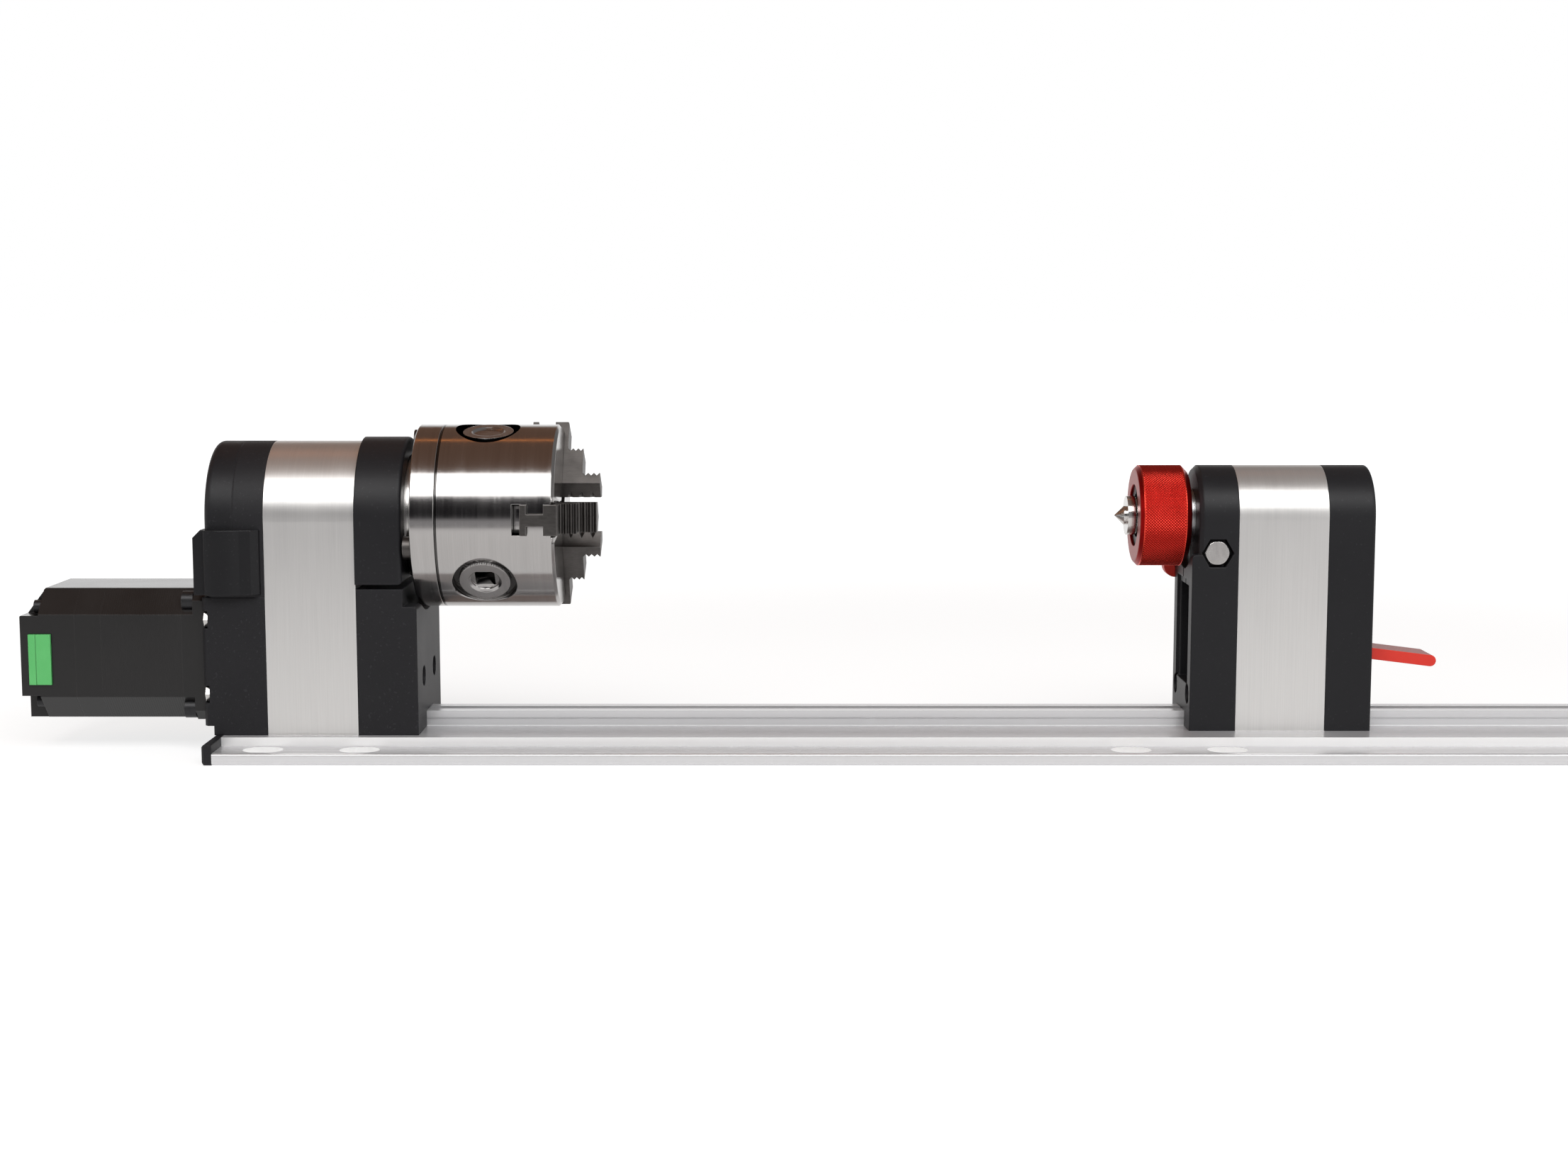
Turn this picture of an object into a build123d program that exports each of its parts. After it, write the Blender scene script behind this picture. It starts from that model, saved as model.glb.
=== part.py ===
from build123d import *
import math
import os

# Rotary axis for a router table: geared headstock with a three-jaw chuck, rail and sliding tailstock.
# Millimetres. X runs along the spindle towards the tailstock, Z is up, and the origin lies on the
# underside of the rail, below the spindle axis and below the rear face of the chuck.

# Fits
sliding_gap = 0.15
running_gap = 0.05
seat_gap = 0.02
free_gap = 0.3

# Rail extrusion
rail_start = -82.7
rail_length = 822.0
rail_width = 111.8
flange_thickness = 4.9
seat_width = 75.8
seat_height = 8.7
ridge_width = 18.0
ridge_height = 15.4
ridge_groove_height = 0.8
ridge_groove_depth = 0.6
ridge_groove_z = 11.9
t_slot_mouth = 6.8
t_slot_width = 12.8
t_slot_lip = 2.6
t_slot_height = 5.2
underside_recess_width = 20.0
underside_recess_offset = 23.5
underside_recess_depth = 2.4
rail_corner = 1.0

# Hold-down slots in the two flanges
hold_down_slot_length = 17.3
hold_down_slot_width = 12.5
hold_down_slot_spacing = 92.5
hold_down_slot_pitch = 41.2
hold_down_pair_pitch = 370.5
hold_down_pair_count = 3
first_pair_centre = -42.2

# End caps of the rail
end_cap_thickness = 4.3
end_cap_bevel = 1.0
end_cap_plug_length = 8.0

# Spindle line
spindle_height = 101.3
spindle_bore_radius = 8.0
spindle_radius = 12.5
spindle_flange_radius = 26.0
spindle_flange_thickness = 6.0
spindle_shoulder_radius = 16.0
spindle_pilot_length = 4.0
spindle_tail_length = 83.0
lock_nut_radius = 17.0
lock_nut_length = 5.0
lock_nut_slots = 4
lock_nut_slot_depth = 1.5
lock_nut_slot_width = 4.0

# Headstock
headstock_radius = 32.9
headstock_front = -24.4
headstock_length = 39.0
bearing_outer_radius = 23.5
bearing_width = 12.0
bearing_race = 3.2
bearing_groove_depth = 1.0
front_cover_radius = 34.7
front_cover_thickness = 20.0
front_cover_foot = 74.4
front_cover_edge = 1.6
front_cover_bore_radius = 18.0
flange_recess_gap = 1.0
front_block_top = 72.2
front_block_ledge = 64.6
front_block_reach = 26.0
front_block_edge = 1.5
chuck_scoop_radius = 41.6
chamber_width = 24.0
chamber_bottom = 27.0
chamber_top = 70.0
tie_screw_spacing = 30.0
tie_screw_height = 32.0
tie_screw_radius = 2.5
tie_screw_head_radius = 4.2
tie_screw_head_length = 5.0
tie_screw_head_depth = 6.0
rail_screw_radius = 3.0
rail_screw_head_radius = 5.2
rail_screw_head_length = 3.4
rail_screw_length = 20.0
rail_screw_pitch = 22.0
rail_screw_spacing = 47.0

# Belt drive
belt_housing_thickness = 13.3
belt_cover_thickness = 12.3
belt_wall = 4.0
belt_cover_wall = 3.0
belt_cover_edge = 3.0
belt_width = 9.6
belt_thickness = 1.4
belt_clearance = 4.0
spindle_pulley_radius = 22.5
spindle_pulley_width = 10.6
spindle_pulley_teeth = 48
motor_pulley_radius = 7.3
motor_pulley_teeth = 16
pulley_flange_radius = 9.4
pulley_flange_thickness = 1.0
pulley_gap = 3.0
tooth_depth = 0.8
tooth_width = 1.5

# Motor bracket under the belt housing
bracket_top = 68.8
bracket_bottom = 12.8
bracket_foot_inset = 4.0
bracket_edge = 1.4
bracket_stand_out = 1.7
bracket_nut_notch_height = 7.6
bracket_nut_notch_depth = 2.4
bracket_nut_width = 2.0
bracket_nut_offset = 16.2

# Side guard over the belt run
side_guard_bottom = 69.9
side_guard_top = 98.0
side_guard_front = -65.0
side_guard_rear = -93.4
side_guard_lip = 5.0
side_guard_bulge = 5.0
side_guard_step = 1.6

# Motor
motor_size = 56.9
motor_height = 42.7
motor_flange_thickness = 10.1
motor_lamination_length = 34.9
motor_rear_cap_length = 11.3
motor_lamination_corner = 10.5
motor_cap_corner = 4.5
motor_pilot_radius = 19.05
motor_pilot_length = 1.6
motor_screw_pitch = 47.14
motor_screw_radius = 2.4
motor_screw_head_radius = 4.2
motor_screw_head_length = 5.0
motor_screw_length = 15.0
motor_shaft_radius = 4.0
motor_rotor_radius = 13.0
motor_bearing_radius = 11.0
motor_bearing_width = 7.0
driver_length = 23.6
driver_corner = 7.4
driver_slope_length = 8.6
driver_slope_height = 11.4
driver_screw_radius = 1.5
driver_screw_head_radius = 2.8
driver_screw_head_length = 3.0
driver_screw_inset = 4.3
terminal_length = 9.8
terminal_height = 22.3
terminal_centre_x = -162.1
terminal_centre_z = 41.2
terminal_depth = 8.0
terminal_stand_out = 1.2
terminal_ways = 4

# Chuck
chuck_radius = 40.0
back_plate_thickness = 10.8
chuck_body_length = 50.8
chuck_front_edge = 1.3
chuck_seam_edge = 0.4
chuck_mount_circle = 66.0
chuck_bolt_first_angle = -20.0
chuck_bolt_radius = 3.0
chuck_bolt_head_radius = 5.0
chuck_bolt_head_length = 3.6
chuck_bolt_length = 18.0
chuck_hub_radius = 12.3
scroll_cavity_radius = 35.0
scroll_cover_thickness = 15.4
scroll_radius = 34.0
scroll_disc_back = 38.0
scroll_disc_front = 43.4
scroll_ridge_front = 46.8
scroll_ridge_width = 1.5
scroll_pitch = 4.0
scroll_start_radius = 13.6
scroll_turns = 4.75
scroll_arcs_per_turn = 4

# Chuck jaws
jaw_count = 3
jaw_angle = 2.0
jaw_width = 13.0
jaw_web_width = 5.0
jaw_tip_radius = 8.9
jaw_outer_radius = 43.4
jaw_guide_back = 47.5
jaw_guide_front = 50.0
jaw_web_front = 57.5
jaw_step_radius = (30.0, 17.6)
jaw_step_front = (63.6, 70.4, 78.4)
jaw_bevel_angle = 120.0
jaw_serration = 1.9
jaw_serration_depth = 0.8
jaw_tooth_width = 7.0
jaw_tooth_thickness = 1.6
jaw_tooth_back = 44.0
jaw_tooth_count = 4

# Chuck key pinions
pinion_offset_angle = 45.0
pinion_x = 30.6
pinion_head_radius = 11.0
pinion_head_outer = 38.4
pinion_hole_rim_radius = 13.5
pinion_gear_radius = 7.0
pinion_gear_inner = 20.0
pinion_tip_radius = 4.0
pinion_tip_inner = 14.5
pinion_socket_size = 8.4
pinion_socket_depth = 12.0
pinion_socket_rim_radius = 7.2
pinion_teeth = 12
pinion_edge = 0.8
pinion_socket_bevel = 45.0

# Tailstock
tailstock_radius = 22.2
tailstock_front = 356.5
tailstock_length = 38.8
tail_front_cover_thickness = 17.0
tail_front_edge = 1.8
tail_base_reach = 3.1
tail_base_top = 85.9
tail_rear_cover_thickness = 20.3
tail_rear_edge = 1.2
tail_window_width = 24.0
tail_window_top = 71.0
tail_window_bottom = 28.0
tail_window_rim = 3.0
tail_window_rim_depth = 1.2
tail_screw_height = 24.0
knob_scoop_radius = 23.4
lever_window_width = 22.0
lever_window_bottom = 35.6
lever_window_top = 86.0

# Quill and knob
quill_radius = 8.0
quill_front = 314.4
quill_length = 62.0
quill_collar_radius = 11.0
quill_collar_thickness = 1.5
quill_extend = 10.0
quill_retract = 2.0
quill_key_width = 4.0
quill_key_depth = 2.0
quill_key_length = 14.0
feed_bush_radius = 10.7
feed_nose_radius = 12.0
feed_nose_front = 322.6
knob_radius = 22.2
knob_front = 313.8
knob_length = 22.7
knob_recess_radius = 13.6
knob_recess_depth = 4.0
knob_web = 2.4
knob_front_edge = 1.8
knob_rear_edge = 2.6
snap_ring_thickness = 1.2
snap_ring_bore_radius = 9.6
snap_ring_gap = 3.0

# Live centre
centre_tip_x = 305.25
centre_cone_length = 4.0
centre_cone_radius = 4.1
centre_neck_length = 1.1
centre_disc_radius = 8.6
centre_disc_length = 3.6
centre_stem_radius = 3.0
centre_bearing_radius = 6.6
centre_bearing_length = 12.0

# Quill lock
lock_bolt_x = 347.5
lock_bolt_height = 86.6
lock_bolt_radius = 3.0
lock_head_across_flats = 10.0
lock_head_thickness = 4.0
lock_head_bevel = 50.0
lock_pocket_across_flats = 12.2
lock_pocket_depth = 5.2
lock_slit = 1.4
lock_lever_hub_radius = 9.0
lock_lever_arm = 24.0
lock_lever_end_radius = 5.0
lock_lever_thickness = 7.0
lock_lever_angle = 38.0
lock_lever_edge = 1.2

# Rail clamp
clamp_x = 376.0
clamp_pivot_height = 46.3
clamp_pin_radius = 2.5
clamp_cam_radius = 9.0
clamp_cam_offset = 1.4
clamp_lever_reach = 68.9
clamp_lever_thickness = 5.0
clamp_lever_width = 19.0
clamp_lever_slope = 7.1
clamp_lever_slot = 9.0
clamp_saddle_length = 18.0
clamp_saddle_width = 22.0
t_bolt_radius = 3.0
t_bolt_eye_wall = 2.5
t_bolt_eye_width = 8.0
t_bolt_head_width = 12.0
t_bolt_head_height = 4.0
t_bolt_rest_gap = 0.2

# Derived places
rail_end = rail_start + rail_length
axis_point = (0, 0, spindle_height)
tie_places = [(side * tie_screw_spacing / 2, tie_screw_height) for side in (-1, 1)]
spindle_axis = Axis(axis_point, (1, 0, 0))
spindle_plane = Plane(origin=axis_point, x_dir=(1, 0, 0), z_dir=(0, -1, 0))
headstock_rear = headstock_front - headstock_length
belt_housing_rear = headstock_rear - belt_housing_thickness
belt_cover_rear = belt_housing_rear - belt_cover_thickness
bracket_rear = belt_cover_rear - bracket_stand_out
pulley_front = headstock_rear - pulley_gap
pulley_rear = pulley_front - spindle_pulley_width
chuck_body_rear = back_plate_thickness
chuck_face = chuck_body_rear + chuck_body_length
motor_flange_rear = bracket_rear - motor_flange_thickness
motor_lamination_rear = motor_flange_rear - motor_lamination_length
motor_cap_rear = motor_lamination_rear - motor_rear_cap_length
driver_rear = motor_cap_rear - driver_length
tail_cover_front = tailstock_front - tail_front_cover_thickness
tail_base_front = tail_cover_front - tail_base_reach
tailstock_rear = tailstock_front + tailstock_length
ridge_tunnel_width = ridge_width + 2 * sliding_gap
ridge_tunnel_top = ridge_height + sliding_gap
pinion_first_angle = jaw_angle - pinion_offset_angle
t_slot_top = ridge_height - t_slot_lip
t_slot_bottom = t_slot_top - t_slot_height

os.makedirs("parts", exist_ok=True)


def save(piece, label):
    """Name a finished piece and write it out."""
    piece.part.label = label
    export_step(piece.part, f"parts/{label}.step")


def tombstone(radius, foot):
    """Arch-topped outline seen along the spindle: a half disc on the axis over straight sides."""
    with BuildSketch() as outline:
        with BuildLine():
            Line((radius, foot), (radius, spindle_height))
            ThreePointArc((radius, spindle_height), (0, spindle_height + radius), (-radius, spindle_height))
            Polyline((-radius, spindle_height), (-radius, foot), (radius, foot))
        make_face()
    return outline.sketch


def box_outline(width, bottom, top):
    """Rectangle centred on the spindle plane between two heights."""
    with BuildSketch() as outline:
        with Locations((0, (bottom + top) / 2)):
            Rectangle(width, top - bottom)
    return outline.sketch


def belt_outline(clearance):
    """Outline around both pulleys seen along the spindle, standing off by a clearance."""
    with BuildSketch() as outline:
        with Locations((0, spindle_height)):
            Circle(spindle_pulley_radius + clearance)
        with Locations((0, motor_height)):
            Circle(motor_pulley_radius + clearance)
        make_hull()
    return outline.sketch


def square_outline(size, corner, height):
    """Square motor section with bevelled corners, centred at a height."""
    with BuildSketch() as outline:
        with Locations((0, height)):
            Rectangle(size, size)
        chamfer(outline.vertices(), corner)
    return outline.sketch


def corner_places(pitch, height):
    """Centres of a square pattern around a height on the spindle plane."""
    half = pitch / 2
    return [(side * half, height + up * half) for side in (-1, 1) for up in (-1, 1)]


def radial_plane(angle):
    """Plane through the spindle axis: local x along the spindle, local y out from it at an angle."""
    turn = math.radians(angle)
    return Plane(origin=axis_point, x_dir=(1, 0, 0), z_dir=(0, -math.sin(turn), -math.cos(turn)))


def radial_face(angle, x, radius):
    """Plane square to a radius of the spindle, centred at a place along it."""
    turn = math.radians(angle)
    out = (0, -math.cos(turn), math.sin(turn))
    centre = (x, radius * out[1], spindle_height + radius * out[2])
    return Plane(origin=centre, x_dir=(1, 0, 0), z_dir=out)


def third_turns(first_angle):
    """Three directions spaced evenly around the spindle."""
    return [first_angle + 360 / jaw_count * number for number in range(jaw_count)]


# Rail
def hold_down_places():
    """Centres of all the slots in both flanges."""
    places = []
    for pair in range(hold_down_pair_count):
        centre = first_pair_centre + pair * hold_down_pair_pitch
        for step in (-0.5, 0.5):
            for side in (-0.5, 0.5):
                places.append((centre + step * hold_down_slot_pitch, side * hold_down_slot_spacing))
    return places


rail_screw_places = [
    (headstock_front - headstock_length / 2 + step * rail_screw_pitch, side * rail_screw_spacing)
    for step in (-0.5, 0.5)
    for side in (-0.5, 0.5)
]
rail_screw_seat = underside_recess_depth + rail_screw_head_length

with BuildPart() as rail:
    with BuildSketch(Plane.YZ.offset(rail_start)):
        add(box_outline(rail_width, 0, flange_thickness))
        add(box_outline(seat_width, 0, seat_height))
        add(box_outline(ridge_width, 0, ridge_height))
        with Locations((-ridge_width / 2, ridge_groove_z), (ridge_width / 2, ridge_groove_z)):
            Rectangle(2 * ridge_groove_depth, ridge_groove_height, mode=Mode.SUBTRACT)
        add(box_outline(t_slot_mouth, t_slot_bottom, ridge_height), mode=Mode.SUBTRACT)
        add(box_outline(t_slot_width, t_slot_bottom, t_slot_top), mode=Mode.SUBTRACT)
        with Locations((-underside_recess_offset, 0), (underside_recess_offset, 0)):
            Rectangle(underside_recess_width, 2 * underside_recess_depth, mode=Mode.SUBTRACT)
    extrude(amount=rail_length)
    flange_edges = rail.edges().filter_by(Axis.X).sort_by(Axis.Y)
    fillet(flange_edges[:2] + flange_edges[-2:], rail_corner)
    with BuildSketch(Plane.XY):
        with Locations(*hold_down_places()):
            SlotOverall(hold_down_slot_length, hold_down_slot_width)
    extrude(amount=flange_thickness, mode=Mode.SUBTRACT)
    with BuildSketch(Plane.XY):
        with Locations(*rail_screw_places):
            Circle(rail_screw_radius + free_gap)
    extrude(amount=seat_height, mode=Mode.SUBTRACT)
    with BuildSketch(Plane.XY):
        with Locations(*rail_screw_places):
            Circle(rail_screw_head_radius + free_gap)
    extrude(amount=rail_screw_seat, mode=Mode.SUBTRACT)
save(rail, "rail")

with BuildPart() as rail_end_caps:
    for face, outward in ((rail_start, -1), (rail_end, 1)):
        with BuildSketch(Plane.YZ.offset(face)):
            add(box_outline(rail_width, 0, seat_height))
            add(box_outline(ridge_width, 0, ridge_height))
        extrude(amount=outward * end_cap_thickness)
        with BuildSketch(Plane.YZ.offset(face)):
            plug_bottom = t_slot_bottom + sliding_gap
            plug_top = t_slot_top - sliding_gap
            add(box_outline(t_slot_width - 2 * sliding_gap, plug_bottom, plug_top))
        extrude(amount=-outward * end_cap_plug_length)
    cap_ends = rail_end_caps.faces().filter_by(Axis.X).sort_by(Axis.X)
    chamfer(cap_ends[0].edges() + cap_ends[-1].edges(), end_cap_bevel)
save(rail_end_caps, "rail_end_caps")

# Headstock
with BuildPart() as headstock_body:
    with BuildSketch(Plane.YZ.offset(headstock_rear)):
        add(tombstone(headstock_radius, seat_height))
        add(box_outline(ridge_tunnel_width, seat_height, ridge_tunnel_top), mode=Mode.SUBTRACT)
        add(box_outline(chamber_width, chamber_bottom, chamber_top), mode=Mode.SUBTRACT)
        with Locations((0, spindle_height)):
            Circle(bearing_outer_radius + seat_gap, mode=Mode.SUBTRACT)
        with Locations(*tie_places):
            Circle(tie_screw_radius + seat_gap, mode=Mode.SUBTRACT)
    extrude(amount=headstock_length)
    with BuildSketch(Plane.XY.offset(seat_height)):
        with Locations(*rail_screw_places):
            Circle(rail_screw_radius + seat_gap)
    extrude(amount=rail_screw_length, mode=Mode.SUBTRACT)
save(headstock_body, "headstock_body")

with BuildPart() as headstock_rail_screws:
    with BuildSketch(Plane.XY.offset(underside_recess_depth)):
        with Locations(*rail_screw_places):
            Circle(rail_screw_head_radius)
            RegularPolygon(rail_screw_radius, 6, mode=Mode.SUBTRACT)
    extrude(amount=rail_screw_head_length)
    with BuildSketch(Plane.XY.offset(rail_screw_seat - rail_screw_head_length / 2)):
        with Locations(*rail_screw_places):
            Circle(rail_screw_radius)
    extrude(amount=rail_screw_head_length / 2 + seat_height - rail_screw_seat + rail_screw_length)
save(headstock_rail_screws, "headstock_rail_screws")

with BuildPart() as headstock_bearings:
    for front in (headstock_front, headstock_rear + bearing_width):
        with BuildSketch(Plane.YZ.offset(front - bearing_width)):
            with Locations((0, spindle_height)):
                Circle(bearing_outer_radius)
                Circle(spindle_radius + running_gap, mode=Mode.SUBTRACT)
        extrude(amount=bearing_width)
        for groove in (front, front - bearing_width):
            with BuildSketch(Plane.YZ.offset(groove)):
                with Locations((0, spindle_height)):
                    Circle(bearing_outer_radius - bearing_race)
                    Circle(spindle_radius + bearing_race, mode=Mode.SUBTRACT)
            extrude(amount=bearing_groove_depth, both=True, mode=Mode.SUBTRACT)
save(headstock_bearings, "headstock_bearings")

with BuildPart() as bearing_spacer:
    with BuildSketch(Plane.YZ.offset(headstock_rear + bearing_width)):
        with Locations((0, spindle_height)):
            Circle(bearing_outer_radius)
            Circle(bearing_outer_radius - bearing_race, mode=Mode.SUBTRACT)
    extrude(amount=headstock_length - 2 * bearing_width)
save(bearing_spacer, "bearing_spacer")

front_cover_face = headstock_front + front_cover_thickness
with BuildPart() as headstock_front_cover:
    with BuildSketch(Plane.YZ.offset(headstock_front)):
        add(tombstone(front_cover_radius, front_cover_foot))
    extrude(amount=front_cover_thickness)
    fillet(headstock_front_cover.faces().sort_by(Axis.X)[-1].edges(), front_cover_edge)
    with BuildSketch(Plane.YZ.offset(headstock_front)):
        with Locations((0, spindle_height)):
            Circle(front_cover_bore_radius)
    extrude(amount=front_cover_thickness, mode=Mode.SUBTRACT)
    with BuildSketch(Plane.YZ.offset(front_cover_face)):
        with Locations((0, spindle_height)):
            Circle(spindle_flange_radius + flange_recess_gap)
    extrude(amount=-(spindle_flange_thickness + flange_recess_gap), mode=Mode.SUBTRACT)
save(headstock_front_cover, "headstock_front_cover")

with BuildPart() as headstock_front_block:
    with BuildSketch(Plane.YZ.offset(headstock_front)):
        add(box_outline(2 * headstock_radius, seat_height, front_block_ledge))
        add(box_outline(ridge_tunnel_width, seat_height, ridge_tunnel_top), mode=Mode.SUBTRACT)
    extrude(amount=front_block_reach)
    with BuildSketch(Plane.YZ.offset(headstock_front)):
        add(box_outline(2 * headstock_radius, front_block_ledge, front_block_top))
    extrude(amount=front_cover_thickness)
    face_edges = headstock_front_block.faces().sort_by(Axis.X)[-1].edges()
    fillet(face_edges.filter_by(Axis.Y).sort_by(Axis.Z)[-1], front_block_edge)
    with BuildSketch(Plane.YZ.offset(front_cover_face)):
        with Locations((0, spindle_height)):
            Circle(chuck_scoop_radius)
    extrude(amount=front_block_reach, mode=Mode.SUBTRACT)
    with BuildSketch(Plane.YZ.offset(headstock_front)):
        with Locations(*tie_places):
            Circle(tie_screw_radius + seat_gap)
    extrude(amount=front_block_reach, mode=Mode.SUBTRACT)
    with BuildSketch(Plane.YZ.offset(headstock_front + front_block_reach)):
        with Locations(*tie_places):
            Circle(tie_screw_head_radius + free_gap)
    extrude(amount=-tie_screw_head_depth, mode=Mode.SUBTRACT)
save(headstock_front_block, "headstock_front_block")


def tie_screws(face, inward, height, end):
    """Pair of socket screws that run in from sunk heads in a face to their ends."""
    seat = face + inward * tie_screw_head_depth
    places = [(side * tie_screw_spacing / 2, height) for side in (-1, 1)]
    with BuildPart() as screws:
        with BuildSketch(Plane.YZ.offset(seat)):
            with Locations(*places):
                Circle(tie_screw_head_radius)
        extrude(amount=-inward * tie_screw_head_length)
        with BuildSketch(Plane.YZ.offset(seat - inward * tie_screw_head_length)):
            with Locations(*places):
                RegularPolygon(tie_screw_radius, 6)
        extrude(amount=inward * tie_screw_head_length / 2, mode=Mode.SUBTRACT)
        with BuildSketch(Plane.YZ.offset(seat)):
            with Locations(*places):
                Circle(tie_screw_radius)
        extrude(amount=end - seat)
    return screws


head_screws = tie_screws(headstock_front + front_block_reach, -1, tie_screw_height, headstock_rear)
save(head_screws, "headstock_tie_screws")

# Belt housing, cover and motor bracket
belt_cavity_radius = headstock_radius - belt_wall

with BuildPart() as belt_housing:
    with BuildSketch(Plane.YZ.offset(belt_housing_rear)):
        add(tombstone(headstock_radius, bracket_top))
        add(tombstone(belt_cavity_radius, bracket_top), mode=Mode.SUBTRACT)
    extrude(amount=belt_housing_thickness)
save(belt_housing, "belt_housing")

with BuildPart() as belt_cover:
    with BuildSketch(Plane.YZ.offset(belt_cover_rear)):
        add(tombstone(headstock_radius, bracket_top))
    extrude(amount=belt_cover_thickness)
    fillet(belt_cover.faces().sort_by(Axis.X)[0].edges().group_by(Axis.Z)[1:], belt_cover_edge)
    with BuildSketch(Plane.YZ.offset(belt_cover_rear + belt_cover_wall)):
        add(tombstone(belt_cavity_radius, bracket_top))
    extrude(amount=belt_cover_thickness, mode=Mode.SUBTRACT)
save(belt_cover, "belt_cover")

bracket_slot_rear = pulley_rear - pulley_flange_thickness - 2 * free_gap
with BuildPart() as motor_bracket:
    with BuildSketch(Plane.YZ.offset(bracket_rear)):
        add(box_outline(2 * headstock_radius, bracket_bottom, bracket_top))
    extrude(amount=headstock_rear - bracket_rear)
    rear_sides = motor_bracket.faces().sort_by(Axis.X)[0].edges().filter_by(Axis.Z)
    chamfer(rear_sides, bracket_edge)
    with BuildSketch(Plane.YZ.offset(headstock_rear)):
        add(box_outline(2 * headstock_radius, seat_height, bracket_bottom))
        add(box_outline(ridge_tunnel_width, seat_height, ridge_tunnel_top), mode=Mode.SUBTRACT)
    extrude(amount=bracket_rear + bracket_foot_inset - headstock_rear)
    with BuildSketch(Plane.YZ.offset(headstock_rear)):
        add(box_outline(ridge_tunnel_width, bracket_bottom, ridge_tunnel_top))
        add(belt_outline(belt_clearance))
    extrude(amount=bracket_slot_rear - headstock_rear, mode=Mode.SUBTRACT)
    with BuildSketch(Plane.YZ.offset(bracket_rear)):
        add(box_outline(ridge_tunnel_width, bracket_bottom, ridge_tunnel_top))
    extrude(amount=bracket_slot_rear - bracket_rear, mode=Mode.SUBTRACT)
    with BuildSketch(Plane.YZ.offset(bracket_rear)):
        with Locations((0, motor_height)):
            Circle(motor_pilot_radius + running_gap)
    extrude(amount=motor_pilot_length + free_gap, mode=Mode.SUBTRACT)
    with BuildSketch(Plane.YZ.offset(bracket_rear)):
        with Locations((0, motor_height)):
            Circle(pulley_flange_radius + 2 * free_gap)
    extrude(amount=bracket_slot_rear - bracket_rear, mode=Mode.SUBTRACT)
    with BuildSketch(Plane.YZ.offset(bracket_rear)):
        with Locations(*corner_places(motor_screw_pitch, motor_height)):
            Circle(motor_screw_radius + seat_gap)
    extrude(amount=motor_screw_length, mode=Mode.SUBTRACT)
    nut_heights = (motor_height - bracket_nut_offset, motor_height + bracket_nut_offset)
    nut_places = [(side * headstock_radius, height) for side in (-1, 1) for height in nut_heights]
    with BuildSketch(Plane.YZ.offset(bracket_rear)):
        with Locations(*nut_places):
            Rectangle(2 * bracket_nut_notch_height, bracket_nut_notch_height)
    extrude(amount=bracket_nut_notch_depth, mode=Mode.SUBTRACT)
save(motor_bracket, "motor_bracket")

with BuildPart() as bracket_nuts:
    inset = headstock_radius - bracket_nut_notch_height / 2
    with BuildSketch(Plane.YZ.offset(bracket_rear + bracket_nut_notch_depth)):
        for side in (-1, 1):
            for up in (-1, 1):
                with Locations((side * inset, motor_height + up * bracket_nut_offset)):
                    RegularPolygon(bracket_nut_notch_height / 2 - free_gap, 6)
    extrude(amount=-bracket_nut_width)
save(bracket_nuts, "bracket_nuts")

with BuildPart() as side_guard:
    with BuildSketch(Plane.XY.offset(side_guard_bottom)):
        with BuildLine():
            inner = -headstock_radius
            outer = inner - side_guard_bulge
            step_x = side_guard_front - side_guard_lip - 2 * side_guard_step
            bevel_x = side_guard_front - 2 * side_guard_step
            rear_lip = side_guard_rear + side_guard_lip
            rear_face = (side_guard_rear, inner + side_guard_lip)
            Line(rear_face, (side_guard_rear, inner - side_guard_step))
            Line((side_guard_rear, inner - side_guard_step), (rear_lip, inner - side_guard_step))
            Line((rear_lip, inner - side_guard_step), (rear_lip, outer + side_guard_step))
            ThreePointArc(
                (rear_lip, outer + side_guard_step),
                ((rear_lip + step_x) / 2, outer),
                (step_x, outer + side_guard_step),
            )
            Line((step_x, outer + side_guard_step), (bevel_x, outer + side_guard_step))
            Line((bevel_x, outer + side_guard_step), (side_guard_front, inner))
            Line((side_guard_front, inner), (belt_cover_rear, inner))
            Line((belt_cover_rear, inner), (belt_cover_rear, inner + side_guard_lip))
            Line((belt_cover_rear, inner + side_guard_lip), rear_face)
        make_face()
    extrude(amount=side_guard_top - side_guard_bottom)
    top_face_rear = side_guard.faces().sort_by(Axis.X)[0].edges().filter_by(Axis.Y).sort_by(Axis.Z)[-1]
    chamfer(top_face_rear, side_guard_lip - side_guard_step)
save(side_guard, "side_guard")

with BuildPart() as drive_belt:
    with BuildSketch(Plane.YZ.offset(pulley_rear + (spindle_pulley_width - belt_width) / 2)):
        add(belt_outline(free_gap + belt_thickness))
        add(belt_outline(free_gap), mode=Mode.SUBTRACT)
    extrude(amount=belt_width)
save(drive_belt, "drive_belt")

with BuildPart() as spindle_pulley:
    with BuildSketch(Plane.YZ.offset(pulley_rear)):
        with Locations((0, spindle_height)):
            Circle(spindle_pulley_radius)
            with PolarLocations(spindle_pulley_radius, spindle_pulley_teeth):
                Rectangle(2 * tooth_depth, tooth_width, mode=Mode.SUBTRACT)
    extrude(amount=spindle_pulley_width)
    with BuildSketch(Plane.YZ.offset(pulley_front)):
        with Locations((0, spindle_height)):
            Circle(spindle_radius + bearing_race)
    extrude(amount=pulley_gap - free_gap)
    with BuildSketch(Plane.YZ.offset(pulley_rear)):
        with Locations((0, spindle_height)):
            Circle(spindle_radius + seat_gap)
    extrude(amount=spindle_pulley_width + pulley_gap, mode=Mode.SUBTRACT)
save(spindle_pulley, "spindle_pulley")

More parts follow.
